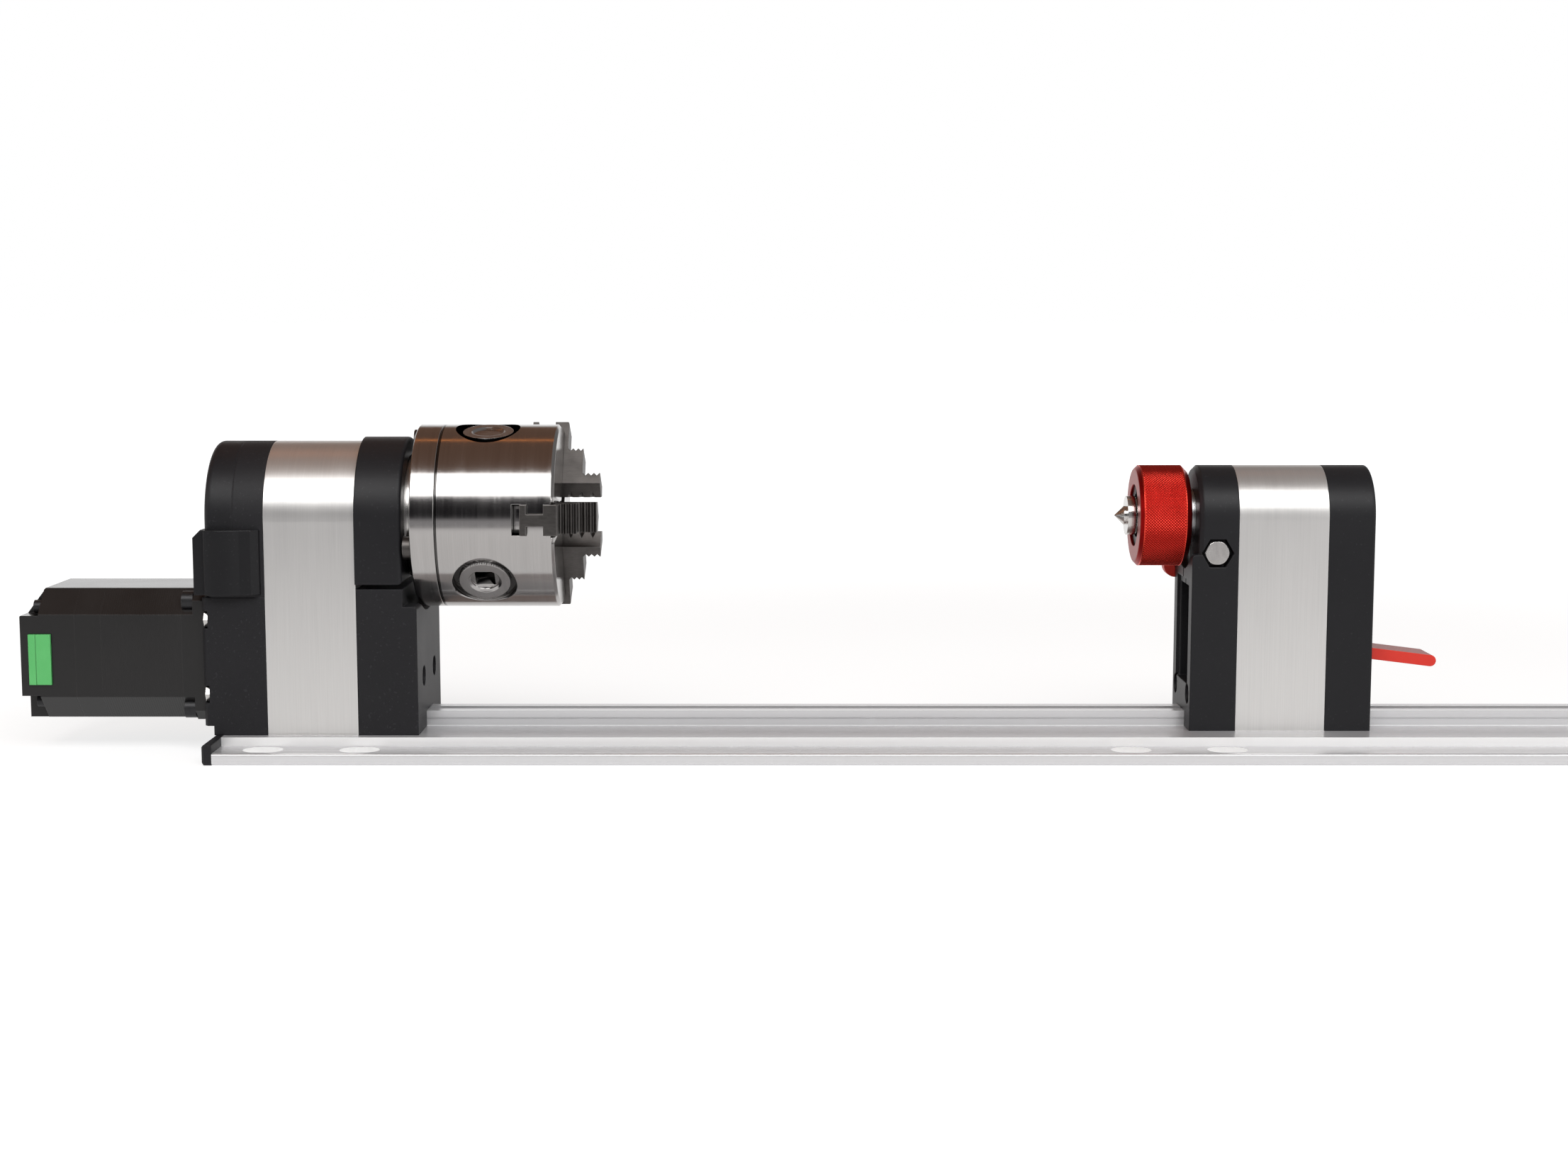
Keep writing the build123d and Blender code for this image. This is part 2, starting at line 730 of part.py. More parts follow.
with BuildPart() as motor_pulley:
    with BuildSketch(Plane.YZ.offset(pulley_rear)):
        with Locations((0, motor_height)):
            Circle(motor_pulley_radius)
            with PolarLocations(motor_pulley_radius, motor_pulley_teeth):
                Rectangle(2 * tooth_depth, tooth_width, mode=Mode.SUBTRACT)
    extrude(amount=spindle_pulley_width)
    for side, outward in ((pulley_rear, -1), (pulley_front, 1)):
        with BuildSketch(Plane.YZ.offset(side)):
            with Locations((0, motor_height)):
                Circle(pulley_flange_radius)
        extrude(amount=outward * pulley_flange_thickness)
    with BuildSketch(Plane.YZ.offset(pulley_rear - pulley_flange_thickness)):
        with Locations((0, motor_height)):
            Circle(motor_shaft_radius + seat_gap)
    extrude(amount=spindle_pulley_width + 2 * pulley_flange_thickness, mode=Mode.SUBTRACT)
save(motor_pulley, "motor_pulley")

# Motor
with BuildPart() as motor_flange:
    with BuildSketch(Plane.YZ.offset(motor_flange_rear)):
        add(square_outline(motor_size, motor_cap_corner, motor_height))
    extrude(amount=motor_flange_thickness)
    with BuildSketch(Plane.YZ.offset(bracket_rear)):
        with Locations((0, motor_height)):
            Circle(motor_pilot_radius)
    extrude(amount=motor_pilot_length)
    with BuildSketch(Plane.YZ.offset(motor_flange_rear)):
        add(square_outline(motor_size, motor_cap_corner, motor_height))
        add(square_outline(motor_size, motor_lamination_corner, motor_height), mode=Mode.SUBTRACT)
    extrude(amount=motor_screw_head_length, mode=Mode.SUBTRACT)
    with BuildSketch(Plane.YZ.offset(motor_flange_rear)):
        with Locations(*corner_places(motor_screw_pitch, motor_height)):
            Circle(motor_screw_head_radius + free_gap)
    extrude(amount=motor_screw_head_length, mode=Mode.SUBTRACT)
    with BuildSketch(Plane.YZ.offset(motor_flange_rear)):
        with Locations(*corner_places(motor_screw_pitch, motor_height)):
            Circle(motor_screw_radius + seat_gap)
        with Locations((0, motor_height)):
            Circle(motor_shaft_radius + free_gap)
    extrude(amount=motor_flange_thickness + motor_pilot_length, mode=Mode.SUBTRACT)
    with BuildSketch(Plane.YZ.offset(motor_flange_rear)):
        with Locations((0, motor_height)):
            Circle(motor_bearing_radius + seat_gap)
    extrude(amount=motor_bearing_width, mode=Mode.SUBTRACT)
save(motor_flange, "motor_flange")

with BuildPart() as motor_laminations:
    with BuildSketch(Plane.YZ.offset(motor_lamination_rear)):
        add(square_outline(motor_size, motor_lamination_corner, motor_height))
        with Locations((0, motor_height)):
            Circle(motor_rotor_radius + free_gap, mode=Mode.SUBTRACT)
    extrude(amount=motor_lamination_length)
save(motor_laminations, "motor_laminations")

with BuildPart() as motor_rear_cap:
    with BuildSketch(Plane.YZ.offset(motor_cap_rear)):
        add(square_outline(motor_size, motor_cap_corner, motor_height))
        with Locations((0, motor_height)):
            Circle(motor_bearing_radius + seat_gap, mode=Mode.SUBTRACT)
    extrude(amount=motor_rear_cap_length)
save(motor_rear_cap, "motor_rear_cap")

with BuildPart() as motor_bearings:
    for rear in (motor_flange_rear, motor_lamination_rear - motor_bearing_width):
        with BuildSketch(Plane.YZ.offset(rear)):
            with Locations((0, motor_height)):
                Circle(motor_bearing_radius)
                Circle(motor_shaft_radius + running_gap, mode=Mode.SUBTRACT)
        extrude(amount=motor_bearing_width)
save(motor_bearings, "motor_bearings")

with BuildPart() as motor_rotor:
    rotor_clear = 2 * free_gap
    with BuildSketch(Plane.YZ.offset(motor_lamination_rear + rotor_clear)):
        with Locations((0, motor_height)):
            Circle(motor_rotor_radius)
    extrude(amount=motor_lamination_length - 2 * rotor_clear)
    with BuildSketch(Plane.YZ.offset(motor_lamination_rear - motor_bearing_width)):
        with Locations((0, motor_height)):
            Circle(motor_shaft_radius)
    extrude(amount=pulley_front + pulley_flange_thickness - motor_lamination_rear + motor_bearing_width)
save(motor_rotor, "motor_rotor")

motor_screw_seat = motor_flange_rear + motor_screw_head_length
with BuildPart() as motor_screws:
    with BuildSketch(Plane.YZ.offset(motor_screw_seat)):
        with Locations(*corner_places(motor_screw_pitch, motor_height)):
            Circle(motor_screw_head_radius)
    extrude(amount=-motor_screw_head_length)
    with BuildSketch(Plane.YZ.offset(motor_flange_rear)):
        with Locations(*corner_places(motor_screw_pitch, motor_height)):
            RegularPolygon(motor_screw_radius, 6)
    extrude(amount=motor_screw_head_length / 2, mode=Mode.SUBTRACT)
    with BuildSketch(Plane.YZ.offset(motor_screw_seat)):
        with Locations(*corner_places(motor_screw_pitch, motor_height)):
            Circle(motor_screw_radius)
    extrude(amount=motor_screw_length)
save(motor_screws, "motor_screws")

driver_screw_pitch = motor_size - 2 * driver_screw_inset
driver_screw_seat = motor_cap_rear - driver_length / 2
with BuildPart() as driver_housing:
    with BuildSketch(Plane.YZ.offset(driver_rear)):
        add(square_outline(motor_size, motor_cap_corner, motor_height))
    extrude(amount=driver_length)
    with BuildSketch(Plane.XZ):
        top = motor_height + motor_size / 2
        with BuildLine():
            Polyline(
                (driver_rear, top - driver_slope_height),
                (driver_rear, top),
                (driver_rear + driver_slope_length, top),
                close=True,
            )
        make_face()
    extrude(amount=motor_size, both=True, mode=Mode.SUBTRACT)
    with BuildSketch(Plane.YZ.offset(driver_rear)):
        with Locations(*corner_places(motor_size, motor_height)):
            Rectangle(2 * driver_corner, 2 * driver_corner)
    extrude(amount=driver_length / 2, mode=Mode.SUBTRACT)
    with BuildSketch(Plane.YZ.offset(driver_rear)):
        with Locations(*corner_places(driver_screw_pitch, motor_height)):
            Circle(driver_screw_radius + seat_gap)
    extrude(amount=driver_length, mode=Mode.SUBTRACT)
    with BuildSketch(Plane.XZ.offset(motor_size / 2)):
        with Locations((terminal_centre_x, terminal_centre_z)):
            Rectangle(terminal_length + 2 * seat_gap, terminal_height + 2 * seat_gap)
    extrude(amount=-terminal_depth, mode=Mode.SUBTRACT)
save(driver_housing, "driver_housing")

with BuildPart() as driver_screws:
    with BuildSketch(Plane.YZ.offset(driver_screw_seat)):
        with Locations(*corner_places(driver_screw_pitch, motor_height)):
            Circle(driver_screw_head_radius)
    extrude(amount=-driver_screw_head_length)
    with BuildSketch(Plane.YZ.offset(driver_screw_seat)):
        with Locations(*corner_places(driver_screw_pitch, motor_height)):
            Circle(driver_screw_radius)
    extrude(amount=driver_length / 2)
save(driver_screws, "driver_screws")

with BuildPart() as terminal_block:
    with BuildSketch(Plane.XZ.offset(motor_size / 2 + terminal_stand_out)):
        with Locations((terminal_centre_x, terminal_centre_z)):
            Rectangle(terminal_length, terminal_height)
    extrude(amount=-(terminal_depth + terminal_stand_out))
    way_pitch = terminal_height / terminal_ways
    with BuildSketch(Plane.XZ.offset(motor_size / 2 + terminal_stand_out)):
        with Locations((terminal_centre_x - terminal_length / 4, terminal_centre_z)):
            with GridLocations(1, way_pitch, 1, terminal_ways):
                Rectangle(terminal_length / 3, way_pitch / 2)
    extrude(amount=-terminal_depth / 2, mode=Mode.SUBTRACT)
save(terminal_block, "terminal_block")

# Spindle
spindle_tail = -spindle_tail_length
with BuildPart() as spindle:
    with BuildSketch(spindle_plane):
        with BuildLine():
            Polyline(
                (spindle_tail, spindle_bore_radius),
                (spindle_tail, spindle_radius),
                (headstock_front, spindle_radius),
                (headstock_front, spindle_shoulder_radius),
                (-spindle_flange_thickness, spindle_shoulder_radius),
                (-spindle_flange_thickness, spindle_flange_radius),
                (0, spindle_flange_radius),
                (0, spindle_radius),
                (spindle_pilot_length, spindle_radius),
                (spindle_pilot_length, spindle_bore_radius),
                close=True,
            )
        make_face()
    revolve(axis=spindle_axis)
save(spindle, "spindle")

with BuildPart() as spindle_lock_nut:
    with BuildSketch(Plane.YZ.offset(pulley_rear)):
        with Locations((0, spindle_height)):
            Circle(lock_nut_radius)
            Circle(spindle_radius + seat_gap, mode=Mode.SUBTRACT)
            with PolarLocations(lock_nut_radius, lock_nut_slots):
                Rectangle(2 * lock_nut_slot_depth, lock_nut_slot_width, mode=Mode.SUBTRACT)
    extrude(amount=-lock_nut_length)
save(spindle_lock_nut, "spindle_lock_nut")

# Chuck


def around_spindle(radius, angle):
    """Three places around the spindle, at an angle above its near side, for a sketch across it."""
    return PolarLocations(radius, jaw_count, start_angle=180 - angle)


with BuildPart() as chuck_back_plate:
    with BuildSketch(Plane.YZ):
        with Locations((0, spindle_height)):
            Circle(chuck_radius)
            Circle(spindle_bore_radius, mode=Mode.SUBTRACT)
            with around_spindle(chuck_mount_circle / 2, chuck_bolt_first_angle):
                Circle(chuck_bolt_radius + seat_gap, mode=Mode.SUBTRACT)
    extrude(amount=back_plate_thickness)
    chamfer(chuck_back_plate.edges().filter_by(GeomType.CIRCLE).group_by(SortBy.RADIUS)[-1], chuck_seam_edge)
    with BuildSketch(Plane.YZ):
        with Locations((0, spindle_height)):
            Circle(spindle_radius + seat_gap)
    extrude(amount=spindle_pilot_length, mode=Mode.SUBTRACT)
save(chuck_back_plate, "chuck_back_plate")

with BuildPart() as chuck_bolts:
    with BuildSketch(Plane.YZ):
        with Locations((0, spindle_height)):
            with around_spindle(chuck_mount_circle / 2, chuck_bolt_first_angle):
                Circle(chuck_bolt_head_radius)
    extrude(amount=-chuck_bolt_head_length)
    with BuildSketch(Plane.YZ.offset(-chuck_bolt_head_length)):
        with Locations((0, spindle_height)):
            with around_spindle(chuck_mount_circle / 2, chuck_bolt_first_angle):
                RegularPolygon(chuck_bolt_radius, 6)
    extrude(amount=chuck_bolt_head_length / 2, mode=Mode.SUBTRACT)
    with BuildSketch(Plane.YZ):
        with Locations((0, spindle_height)):
            with around_spindle(chuck_mount_circle / 2, chuck_bolt_first_angle):
                Circle(chuck_bolt_radius)
    extrude(amount=chuck_bolt_length)
save(chuck_bolts, "chuck_bolts")

jaw_slot_width = jaw_width + 2 * sliding_gap
jaw_neck_width = jaw_web_width + 2 * sliding_gap
jaw_slot_length = chuck_radius + pinion_edge
cavity_front = scroll_ridge_front + free_gap

with BuildPart() as chuck_body:
    with BuildSketch(spindle_plane):
        with BuildLine():
            Polyline(
                (chuck_body_rear, chuck_hub_radius - running_gap),
                (scroll_disc_front, chuck_hub_radius - running_gap),
                (scroll_disc_front, chuck_hub_radius - sliding_gap),
                (cavity_front, chuck_hub_radius - sliding_gap),
                (cavity_front, scroll_cavity_radius),
                (chuck_body_rear, scroll_cavity_radius),
                (chuck_body_rear, chuck_radius),
                (chuck_face - chuck_front_edge, chuck_radius),
                (chuck_face, chuck_radius - chuck_front_edge),
                (chuck_face, spindle_bore_radius),
                (chuck_body_rear, spindle_bore_radius),
                close=True,
            )
        make_face()
    revolve(axis=spindle_axis)
    for angle in third_turns(jaw_angle):
        slot_plane = radial_plane(angle)
        for rear, front, width in (
            (jaw_tooth_back - free_gap, jaw_guide_front + sliding_gap, jaw_slot_width),
            (jaw_guide_front, jaw_web_front, jaw_neck_width),
            (jaw_web_front - sliding_gap, chuck_face, jaw_slot_width),
        ):
            with BuildSketch(slot_plane):
                with Locations(((rear + front) / 2, jaw_slot_length / 2)):
                    Rectangle(front - rear, jaw_slot_length)
            extrude(amount=width / 2, both=True, mode=Mode.SUBTRACT)
    for angle in third_turns(pinion_first_angle):
        with BuildSketch(radial_face(angle, pinion_x, scroll_cavity_radius - chuck_front_edge)):
            Circle(pinion_head_radius + running_gap)
        extrude(amount=chuck_radius - scroll_cavity_radius + 2 * chuck_front_edge, mode=Mode.SUBTRACT)
        rim_depth = pinion_hole_rim_radius - pinion_head_radius
        with BuildSketch(radial_face(angle, pinion_x, pinion_head_outer)):
            Circle(pinion_hole_rim_radius)
        extrude(amount=rim_depth, mode=Mode.SUBTRACT)
    with BuildSketch(Plane.YZ.offset(chuck_body_rear)):
        with Locations((0, spindle_height)):
            with around_spindle(chuck_mount_circle / 2, chuck_bolt_first_angle):
                Circle(chuck_bolt_radius + seat_gap)
    extrude(amount=chuck_bolt_length, mode=Mode.SUBTRACT)
save(chuck_body, "chuck_body")


def scroll_point(turn, shift):
    """Point of a spiral whose radius grows by one pitch a turn, moved out by a shift."""
    radius = scroll_start_radius + scroll_pitch * turn + shift
    return (radius * math.cos(2 * math.pi * turn), radius * math.sin(2 * math.pi * turn))


def scroll_side(shift):
    """One side of the scroll's ridge as a chain of arcs through the spiral; gives its two ends."""
    step = 1 / scroll_arcs_per_turn
    for number in range(int(scroll_turns * scroll_arcs_per_turn)):
        arc_points = [scroll_point((number + part) * step, shift) for part in (0, 0.5, 1)]
        ThreePointArc(*arc_points)
    return scroll_point(0, shift), scroll_point(scroll_turns, shift)


with BuildPart() as scroll_plate:
    with BuildSketch(Plane.YZ.offset(scroll_disc_back)):
        with Locations((0, spindle_height)):
            Circle(scroll_radius)
    extrude(amount=scroll_disc_front - scroll_disc_back)
    with BuildSketch(Plane(origin=(scroll_disc_front, 0, spindle_height), x_dir=(0, 1, 0), z_dir=(1, 0, 0))):
        with BuildLine():
            inner_ends = scroll_side(-scroll_ridge_width / 2)
            outer_ends = scroll_side(scroll_ridge_width / 2)
            for inner, outer in zip(inner_ends, outer_ends):
                Line(inner, outer)
        make_face()
    extrude(amount=scroll_ridge_front - scroll_disc_front)
    with BuildSketch(Plane.YZ.offset(scroll_disc_back)):
        with Locations((0, spindle_height)):
            Circle(chuck_hub_radius)
    extrude(amount=scroll_ridge_front - scroll_disc_back, mode=Mode.SUBTRACT)
save(scroll_plate, "scroll_plate")

with BuildPart() as scroll_cover:
    with BuildSketch(Plane.YZ.offset(chuck_body_rear)):
        with Locations((0, spindle_height)):
            Circle(scroll_cavity_radius - seat_gap)
            Circle(chuck_hub_radius, mode=Mode.SUBTRACT)
            with around_spindle(chuck_mount_circle / 2, chuck_bolt_first_angle):
                Circle(chuck_bolt_radius + free_gap, mode=Mode.SUBTRACT)
    extrude(amount=scroll_cover_thickness)
    for angle in third_turns(pinion_first_angle):
        with BuildSketch(radial_face(angle, pinion_x, pinion_gear_inner - free_gap)):
            Circle(pinion_gear_radius + free_gap)
        extrude(amount=scroll_cavity_radius - pinion_gear_inner + free_gap, mode=Mode.SUBTRACT)
save(scroll_cover, "scroll_cover")

for number, angle in enumerate(third_turns(pinion_first_angle), start=1):
    with BuildPart() as pinion:
        with BuildSketch(radial_face(angle, pinion_x, scroll_cavity_radius)):
            Circle(pinion_head_radius)
        extrude(amount=pinion_head_outer - scroll_cavity_radius)
        with BuildSketch(radial_face(angle, pinion_x, pinion_gear_inner)):
            Circle(pinion_gear_radius)
            with PolarLocations(pinion_gear_radius, pinion_teeth):
                Rectangle(2 * tooth_depth, tooth_width, mode=Mode.SUBTRACT)
        extrude(amount=scroll_cavity_radius - pinion_gear_inner)
        with BuildSketch(radial_face(angle, pinion_x, pinion_tip_inner)):
            Circle(pinion_tip_radius)
        extrude(amount=pinion_gear_inner - pinion_tip_inner)
        with BuildSketch(radial_face(angle, pinion_x, pinion_head_outer)):
            Circle(pinion_socket_rim_radius)
        extrude(amount=-pinion_edge, taper=pinion_socket_bevel, mode=Mode.SUBTRACT)
        with BuildSketch(radial_face(angle, pinion_x, pinion_head_outer)):
            Rectangle(pinion_socket_size, pinion_socket_size)
        extrude(amount=-pinion_socket_depth, mode=Mode.SUBTRACT)
    save(pinion, f"key_pinion_{number}")


# Jaws
def serrated(start, end, out):
    """Points of small teeth along a line of the jaw outline, standing off towards an outward side."""
    length = math.dist(start, end)
    count = int(length / jaw_serration)
    along = ((end[0] - start[0]) / length, (end[1] - start[1]) / length)
    points = [start]
    for number in range(count):
        for share, height in ((0.25, 0), (0.5, -jaw_serration_depth), (0.75, 0)):
            reach = length * (number + share) / count
            place = (start[0] + along[0] * reach, start[1] + along[1] * reach)
            points.append((place[0] + out[0] * height, place[1] + out[1] * height))
    return points + [end]


step_one, step_two = jaw_step_radius
face_one, face_two, face_three = jaw_step_front

for number, angle in enumerate(third_turns(jaw_angle), start=1):
    with BuildPart() as jaw:
        with BuildSketch(radial_plane(angle)):
            with BuildLine():
                Polyline(
                    (jaw_web_front, jaw_outer_radius),
                    (face_one, jaw_outer_radius),
                    *serrated((face_one, step_one), (face_two, step_one), (0, 1)),
                    *serrated((face_two, step_two), (face_three, step_two), (0, 1)),
                    *serrated((face_three, jaw_tip_radius), (jaw_web_front, jaw_tip_radius), (0, -1)),
                    close=True,
                )
            make_face()
        extrude(amount=jaw_width / 2, both=True)
        for rear, front, width in (
            (jaw_guide_front, jaw_web_front, jaw_web_width),
            (jaw_guide_back, jaw_guide_front, jaw_width),
        ):
            with BuildSketch(radial_plane(angle)):
                with Locations(((rear + front) / 2, (jaw_tip_radius + jaw_outer_radius) / 2)):
                    Rectangle(front - rear, jaw_outer_radius - jaw_tip_radius)
            extrude(amount=width / 2, both=True)
        bevel_run = jaw_width / 2 / math.tan(math.radians(jaw_bevel_angle / 2))
        with BuildSketch(Plane.YZ.offset(jaw_guide_back)):
            with Locations((0, spindle_height)):
                with Locations(Location((0, 0, 0), (0, 0, 180 - angle))):
                    Polygon(
                        (jaw_tip_radius, 0),
                        (jaw_tip_radius + bevel_run, jaw_width / 2),
                        (0, jaw_width / 2),
                        (0, -jaw_width / 2),
                        (jaw_tip_radius + bevel_run, -jaw_width / 2),
                        align=None,
                    )
        extrude(amount=face_three - jaw_guide_back, mode=Mode.SUBTRACT)
        scroll_phase = scroll_start_radius + scroll_pitch * (0.5 + (180 - angle) % 360 / 360)
        for tooth in range(1, jaw_tooth_count + 1):
            tooth_radius = scroll_phase + tooth * scroll_pitch
            with BuildSketch(Plane.YZ.offset(jaw_tooth_back)):
                with Locations((0, spindle_height)):
                    Circle(tooth_radius + jaw_tooth_thickness / 2)
                    Circle(tooth_radius - jaw_tooth_thickness / 2, mode=Mode.SUBTRACT)
                    with Locations(Location((0, 0, 0), (0, 0, 180 - angle))):
                        with Locations((chuck_radius / 2, 0)):
                            Rectangle(chuck_radius, jaw_tooth_width, mode=Mode.INTERSECT)
            extrude(amount=jaw_guide_back - jaw_tooth_back)
    save(jaw, f"jaw_{number}")

# Tailstock
clamp_hole = t_bolt_radius + free_gap
tail_screw_places = [(side * tie_screw_spacing / 2, tail_screw_height) for side in (-1, 1)]

with BuildPart() as tailstock_body:
    with BuildSketch(Plane.YZ.offset(tailstock_front)):
        add(tombstone(tailstock_radius, seat_height))
        add(box_outline(ridge_tunnel_width, seat_height, ridge_tunnel_top), mode=Mode.SUBTRACT)
        add(box_outline(chamber_width, chamber_bottom, chamber_top), mode=Mode.SUBTRACT)
        with Locations((0, spindle_height)):
            Circle(quill_radius + running_gap, mode=Mode.SUBTRACT)
        with Locations(*tail_screw_places):
            Circle(tie_screw_radius + seat_gap, mode=Mode.SUBTRACT)
    extrude(amount=tailstock_length)
    with BuildSketch(Plane.XY.offset(ridge_height)):
        with Locations((clamp_x, 0)):
            Circle(clamp_hole)
    extrude(amount=chamber_bottom - ridge_height, mode=Mode.SUBTRACT)
    key_seat = tailstock_front + (tailstock_length - quill_key_length) / 2
    key_bottom = spindle_height - quill_radius - quill_key_depth
    with BuildSketch(Plane.XY.offset(key_bottom)):
        with Locations((key_seat + quill_key_length / 2, 0)):
            Rectangle(quill_key_length + 2 * seat_gap, quill_key_width)
    extrude(amount=quill_radius, mode=Mode.SUBTRACT)
save(tailstock_body, "tailstock_body")

with BuildPart() as tailstock_front_cover:
    with BuildSketch(Plane.YZ.offset(tail_cover_front)):
        add(tombstone(tailstock_radius, seat_height))
    extrude(amount=tail_front_cover_thickness)
    front_rim = tailstock_front_cover.faces().sort_by(Axis.X)[0].edges().filter_by(GeomType.CIRCLE)
    chamfer(front_rim, tail_front_edge)
    with BuildSketch(Plane.YZ.offset(tail_base_front)):
        add(box_outline(2 * tailstock_radius, seat_height, tail_base_top))
    extrude(amount=tail_base_reach + tail_front_edge)
    ledge = tailstock_front_cover.faces().sort_by(Axis.X)[0].edges().filter_by(Axis.Y).sort_by(Axis.Z)[-1]
    fillet(ledge, tail_front_edge)
    with BuildSketch(Plane.YZ.offset(tail_base_front)):
        with Locations((0, spindle_height)):
            Circle(knob_scoop_radius)
    extrude(amount=tail_base_reach, mode=Mode.SUBTRACT)
    with BuildSketch(Plane.YZ.offset(tail_base_front)):
        add(box_outline(ridge_tunnel_width, seat_height, ridge_tunnel_top))
        add(box_outline(tail_window_width, tail_window_bottom, tail_window_top))
        with Locations(*tail_screw_places):
            Circle(tie_screw_radius + seat_gap)
        with Locations((0, spindle_height)):
            Circle(feed_bush_radius + seat_gap)
    extrude(amount=tailstock_front - tail_base_front, mode=Mode.SUBTRACT)
    with BuildSketch(Plane.YZ.offset(tail_base_front)):
        rim = tail_window_width + 2 * tail_window_rim
        add(box_outline(rim, tail_window_bottom, tail_window_top + tail_window_rim))
    extrude(amount=tail_window_rim_depth, mode=Mode.SUBTRACT)
    with BuildSketch(Plane.YZ.offset(tail_base_front)):
        with Locations(*tail_screw_places):
            Circle(tie_screw_head_radius + free_gap)
    extrude(amount=tie_screw_head_depth, mode=Mode.SUBTRACT)
    with BuildSketch(Plane.YZ.offset(tail_base_front)):
        add(box_outline(lock_slit, tail_window_top, spindle_height))
    extrude(amount=tailstock_front - tail_base_front, mode=Mode.SUBTRACT)
    with BuildSketch(Plane.XZ.offset(tailstock_radius)):
        with Locations((lock_bolt_x, lock_bolt_height)):
            Circle(lock_bolt_radius + seat_gap)
    extrude(amount=-2 * tailstock_radius, mode=Mode.SUBTRACT)
    with BuildSketch(Plane.XZ.offset(tailstock_radius)):
        with Locations((lock_bolt_x, lock_bolt_height)):
            RegularPolygon(lock_pocket_across_flats / 2, 6, major_radius=False)
    extrude(amount=-lock_pocket_depth, mode=Mode.SUBTRACT)
save(tailstock_front_cover, "tailstock_front_cover")

with BuildPart() as tailstock_rear_cover:
    with BuildSketch(Plane.YZ.offset(tailstock_rear)):
        add(tombstone(tailstock_radius, seat_height))
        add(box_outline(ridge_tunnel_width, seat_height, ridge_tunnel_top), mode=Mode.SUBTRACT)
    extrude(amount=tail_rear_cover_thickness)
    rear_rim = tailstock_rear_cover.faces().sort_by(Axis.X)[-1].edges().filter_by(GeomType.CIRCLE)
    fillet(rear_rim, tail_rear_edge)
    with BuildSketch(Plane.YZ.offset(tailstock_rear)):
        add(box_outline(lever_window_width, lever_window_bottom, lever_window_top))
    extrude(amount=tail_rear_cover_thickness, mode=Mode.SUBTRACT)
save(tailstock_rear_cover, "tailstock_rear_cover")

tail_screws = tie_screws(tail_base_front, 1, tail_screw_height, tailstock_rear)
save(tail_screws, "tailstock_tie_screws")

# Quill, knob and live centre
knob_rear = knob_front + knob_length
knob_web_front = knob_front + knob_recess_depth
quill_collar_front = knob_web_front - quill_collar_thickness
snap_ring_front = quill_collar_front - sliding_gap - snap_ring_thickness

with BuildPart() as feed_bush:
    with BuildSketch(spindle_plane):
        with BuildLine():
            Polyline(
                (feed_nose_front, quill_radius + running_gap),
                (feed_nose_front, feed_nose_radius),
                (tail_cover_front, feed_nose_radius),
                (tail_cover_front, feed_bush_radius),
                (tailstock_front, feed_bush_radius),
                (tailstock_front, quill_radius + running_gap),
                close=True,
            )
        make_face()
    revolve(axis=spindle_axis)
    with BuildSketch(Plane.YZ.offset(tail_cover_front)):
        add(box_outline(lock_slit, tail_window_top, spindle_height))
    extrude(amount=tail_front_cover_thickness, mode=Mode.SUBTRACT)
save(feed_bush, "feed_bush")

with BuildPart() as quill:
    with BuildSketch(spindle_plane):
        with BuildLine():
            Polyline(
                (quill_front, centre_bearing_radius),
                (quill_front, quill_radius),
                (quill_collar_front, quill_radius),
                (quill_collar_front, quill_collar_radius),
                (knob_web_front, quill_collar_radius),
                (knob_web_front, quill_radius),
                (quill_front + quill_length, quill_radius),
                (quill_front + quill_length, 0),
                (quill_front + centre_bearing_length, 0),
                (quill_front + centre_bearing_length, centre_bearing_radius),
                close=True,
            )
        make_face()
    revolve(axis=spindle_axis)
    slot_start = key_seat - quill_extend - free_gap
    slot_length = quill_key_length + quill_extend + quill_retract + 2 * free_gap
    with BuildSketch(Plane.XY.offset(spindle_height - quill_radius)):
        with Locations((slot_start + slot_length / 2, 0)):
            Rectangle(slot_length, quill_key_width + 2 * sliding_gap)
    extrude(amount=quill_key_depth + sliding_gap, mode=Mode.SUBTRACT)
save(quill, "quill")

with BuildPart() as quill_key:
    with BuildSketch(Plane.XY.offset(key_bottom)):
        with Locations((key_seat + quill_key_length / 2, 0)):
            Rectangle(quill_key_length, quill_key_width - 2 * seat_gap)
    extrude(amount=2 * quill_key_depth)
save(quill_key, "quill_key")

with BuildPart() as quill_knob:
    with BuildSketch(spindle_plane):
        with BuildLine():
            Polyline(
                (knob_front, knob_recess_radius),
                (knob_front, knob_radius - knob_front_edge),
                (knob_front + knob_front_edge, knob_radius),
                (knob_rear - knob_rear_edge, knob_radius),
                (knob_rear, knob_radius - knob_rear_edge),
                (knob_rear, feed_nose_radius + free_gap),
                (knob_web_front + knob_web, feed_nose_radius + free_gap),
                (knob_web_front + knob_web, quill_radius + running_gap),
                (knob_web_front, quill_radius + running_gap),
                (knob_web_front, knob_recess_radius),
                close=True,
            )
        make_face()
    revolve(axis=spindle_axis)
save(quill_knob, "quill_knob")

with BuildPart() as knob_snap_ring:
    with BuildSketch(Plane.YZ.offset(snap_ring_front)):
        with Locations((0, spindle_height)):
            Circle(knob_recess_radius - seat_gap)
            Circle(snap_ring_bore_radius, mode=Mode.SUBTRACT)
            with Locations((0, knob_recess_radius)):
                Rectangle(snap_ring_gap, knob_recess_radius, mode=Mode.SUBTRACT)
    extrude(amount=snap_ring_thickness)
save(knob_snap_ring, "knob_snap_ring")

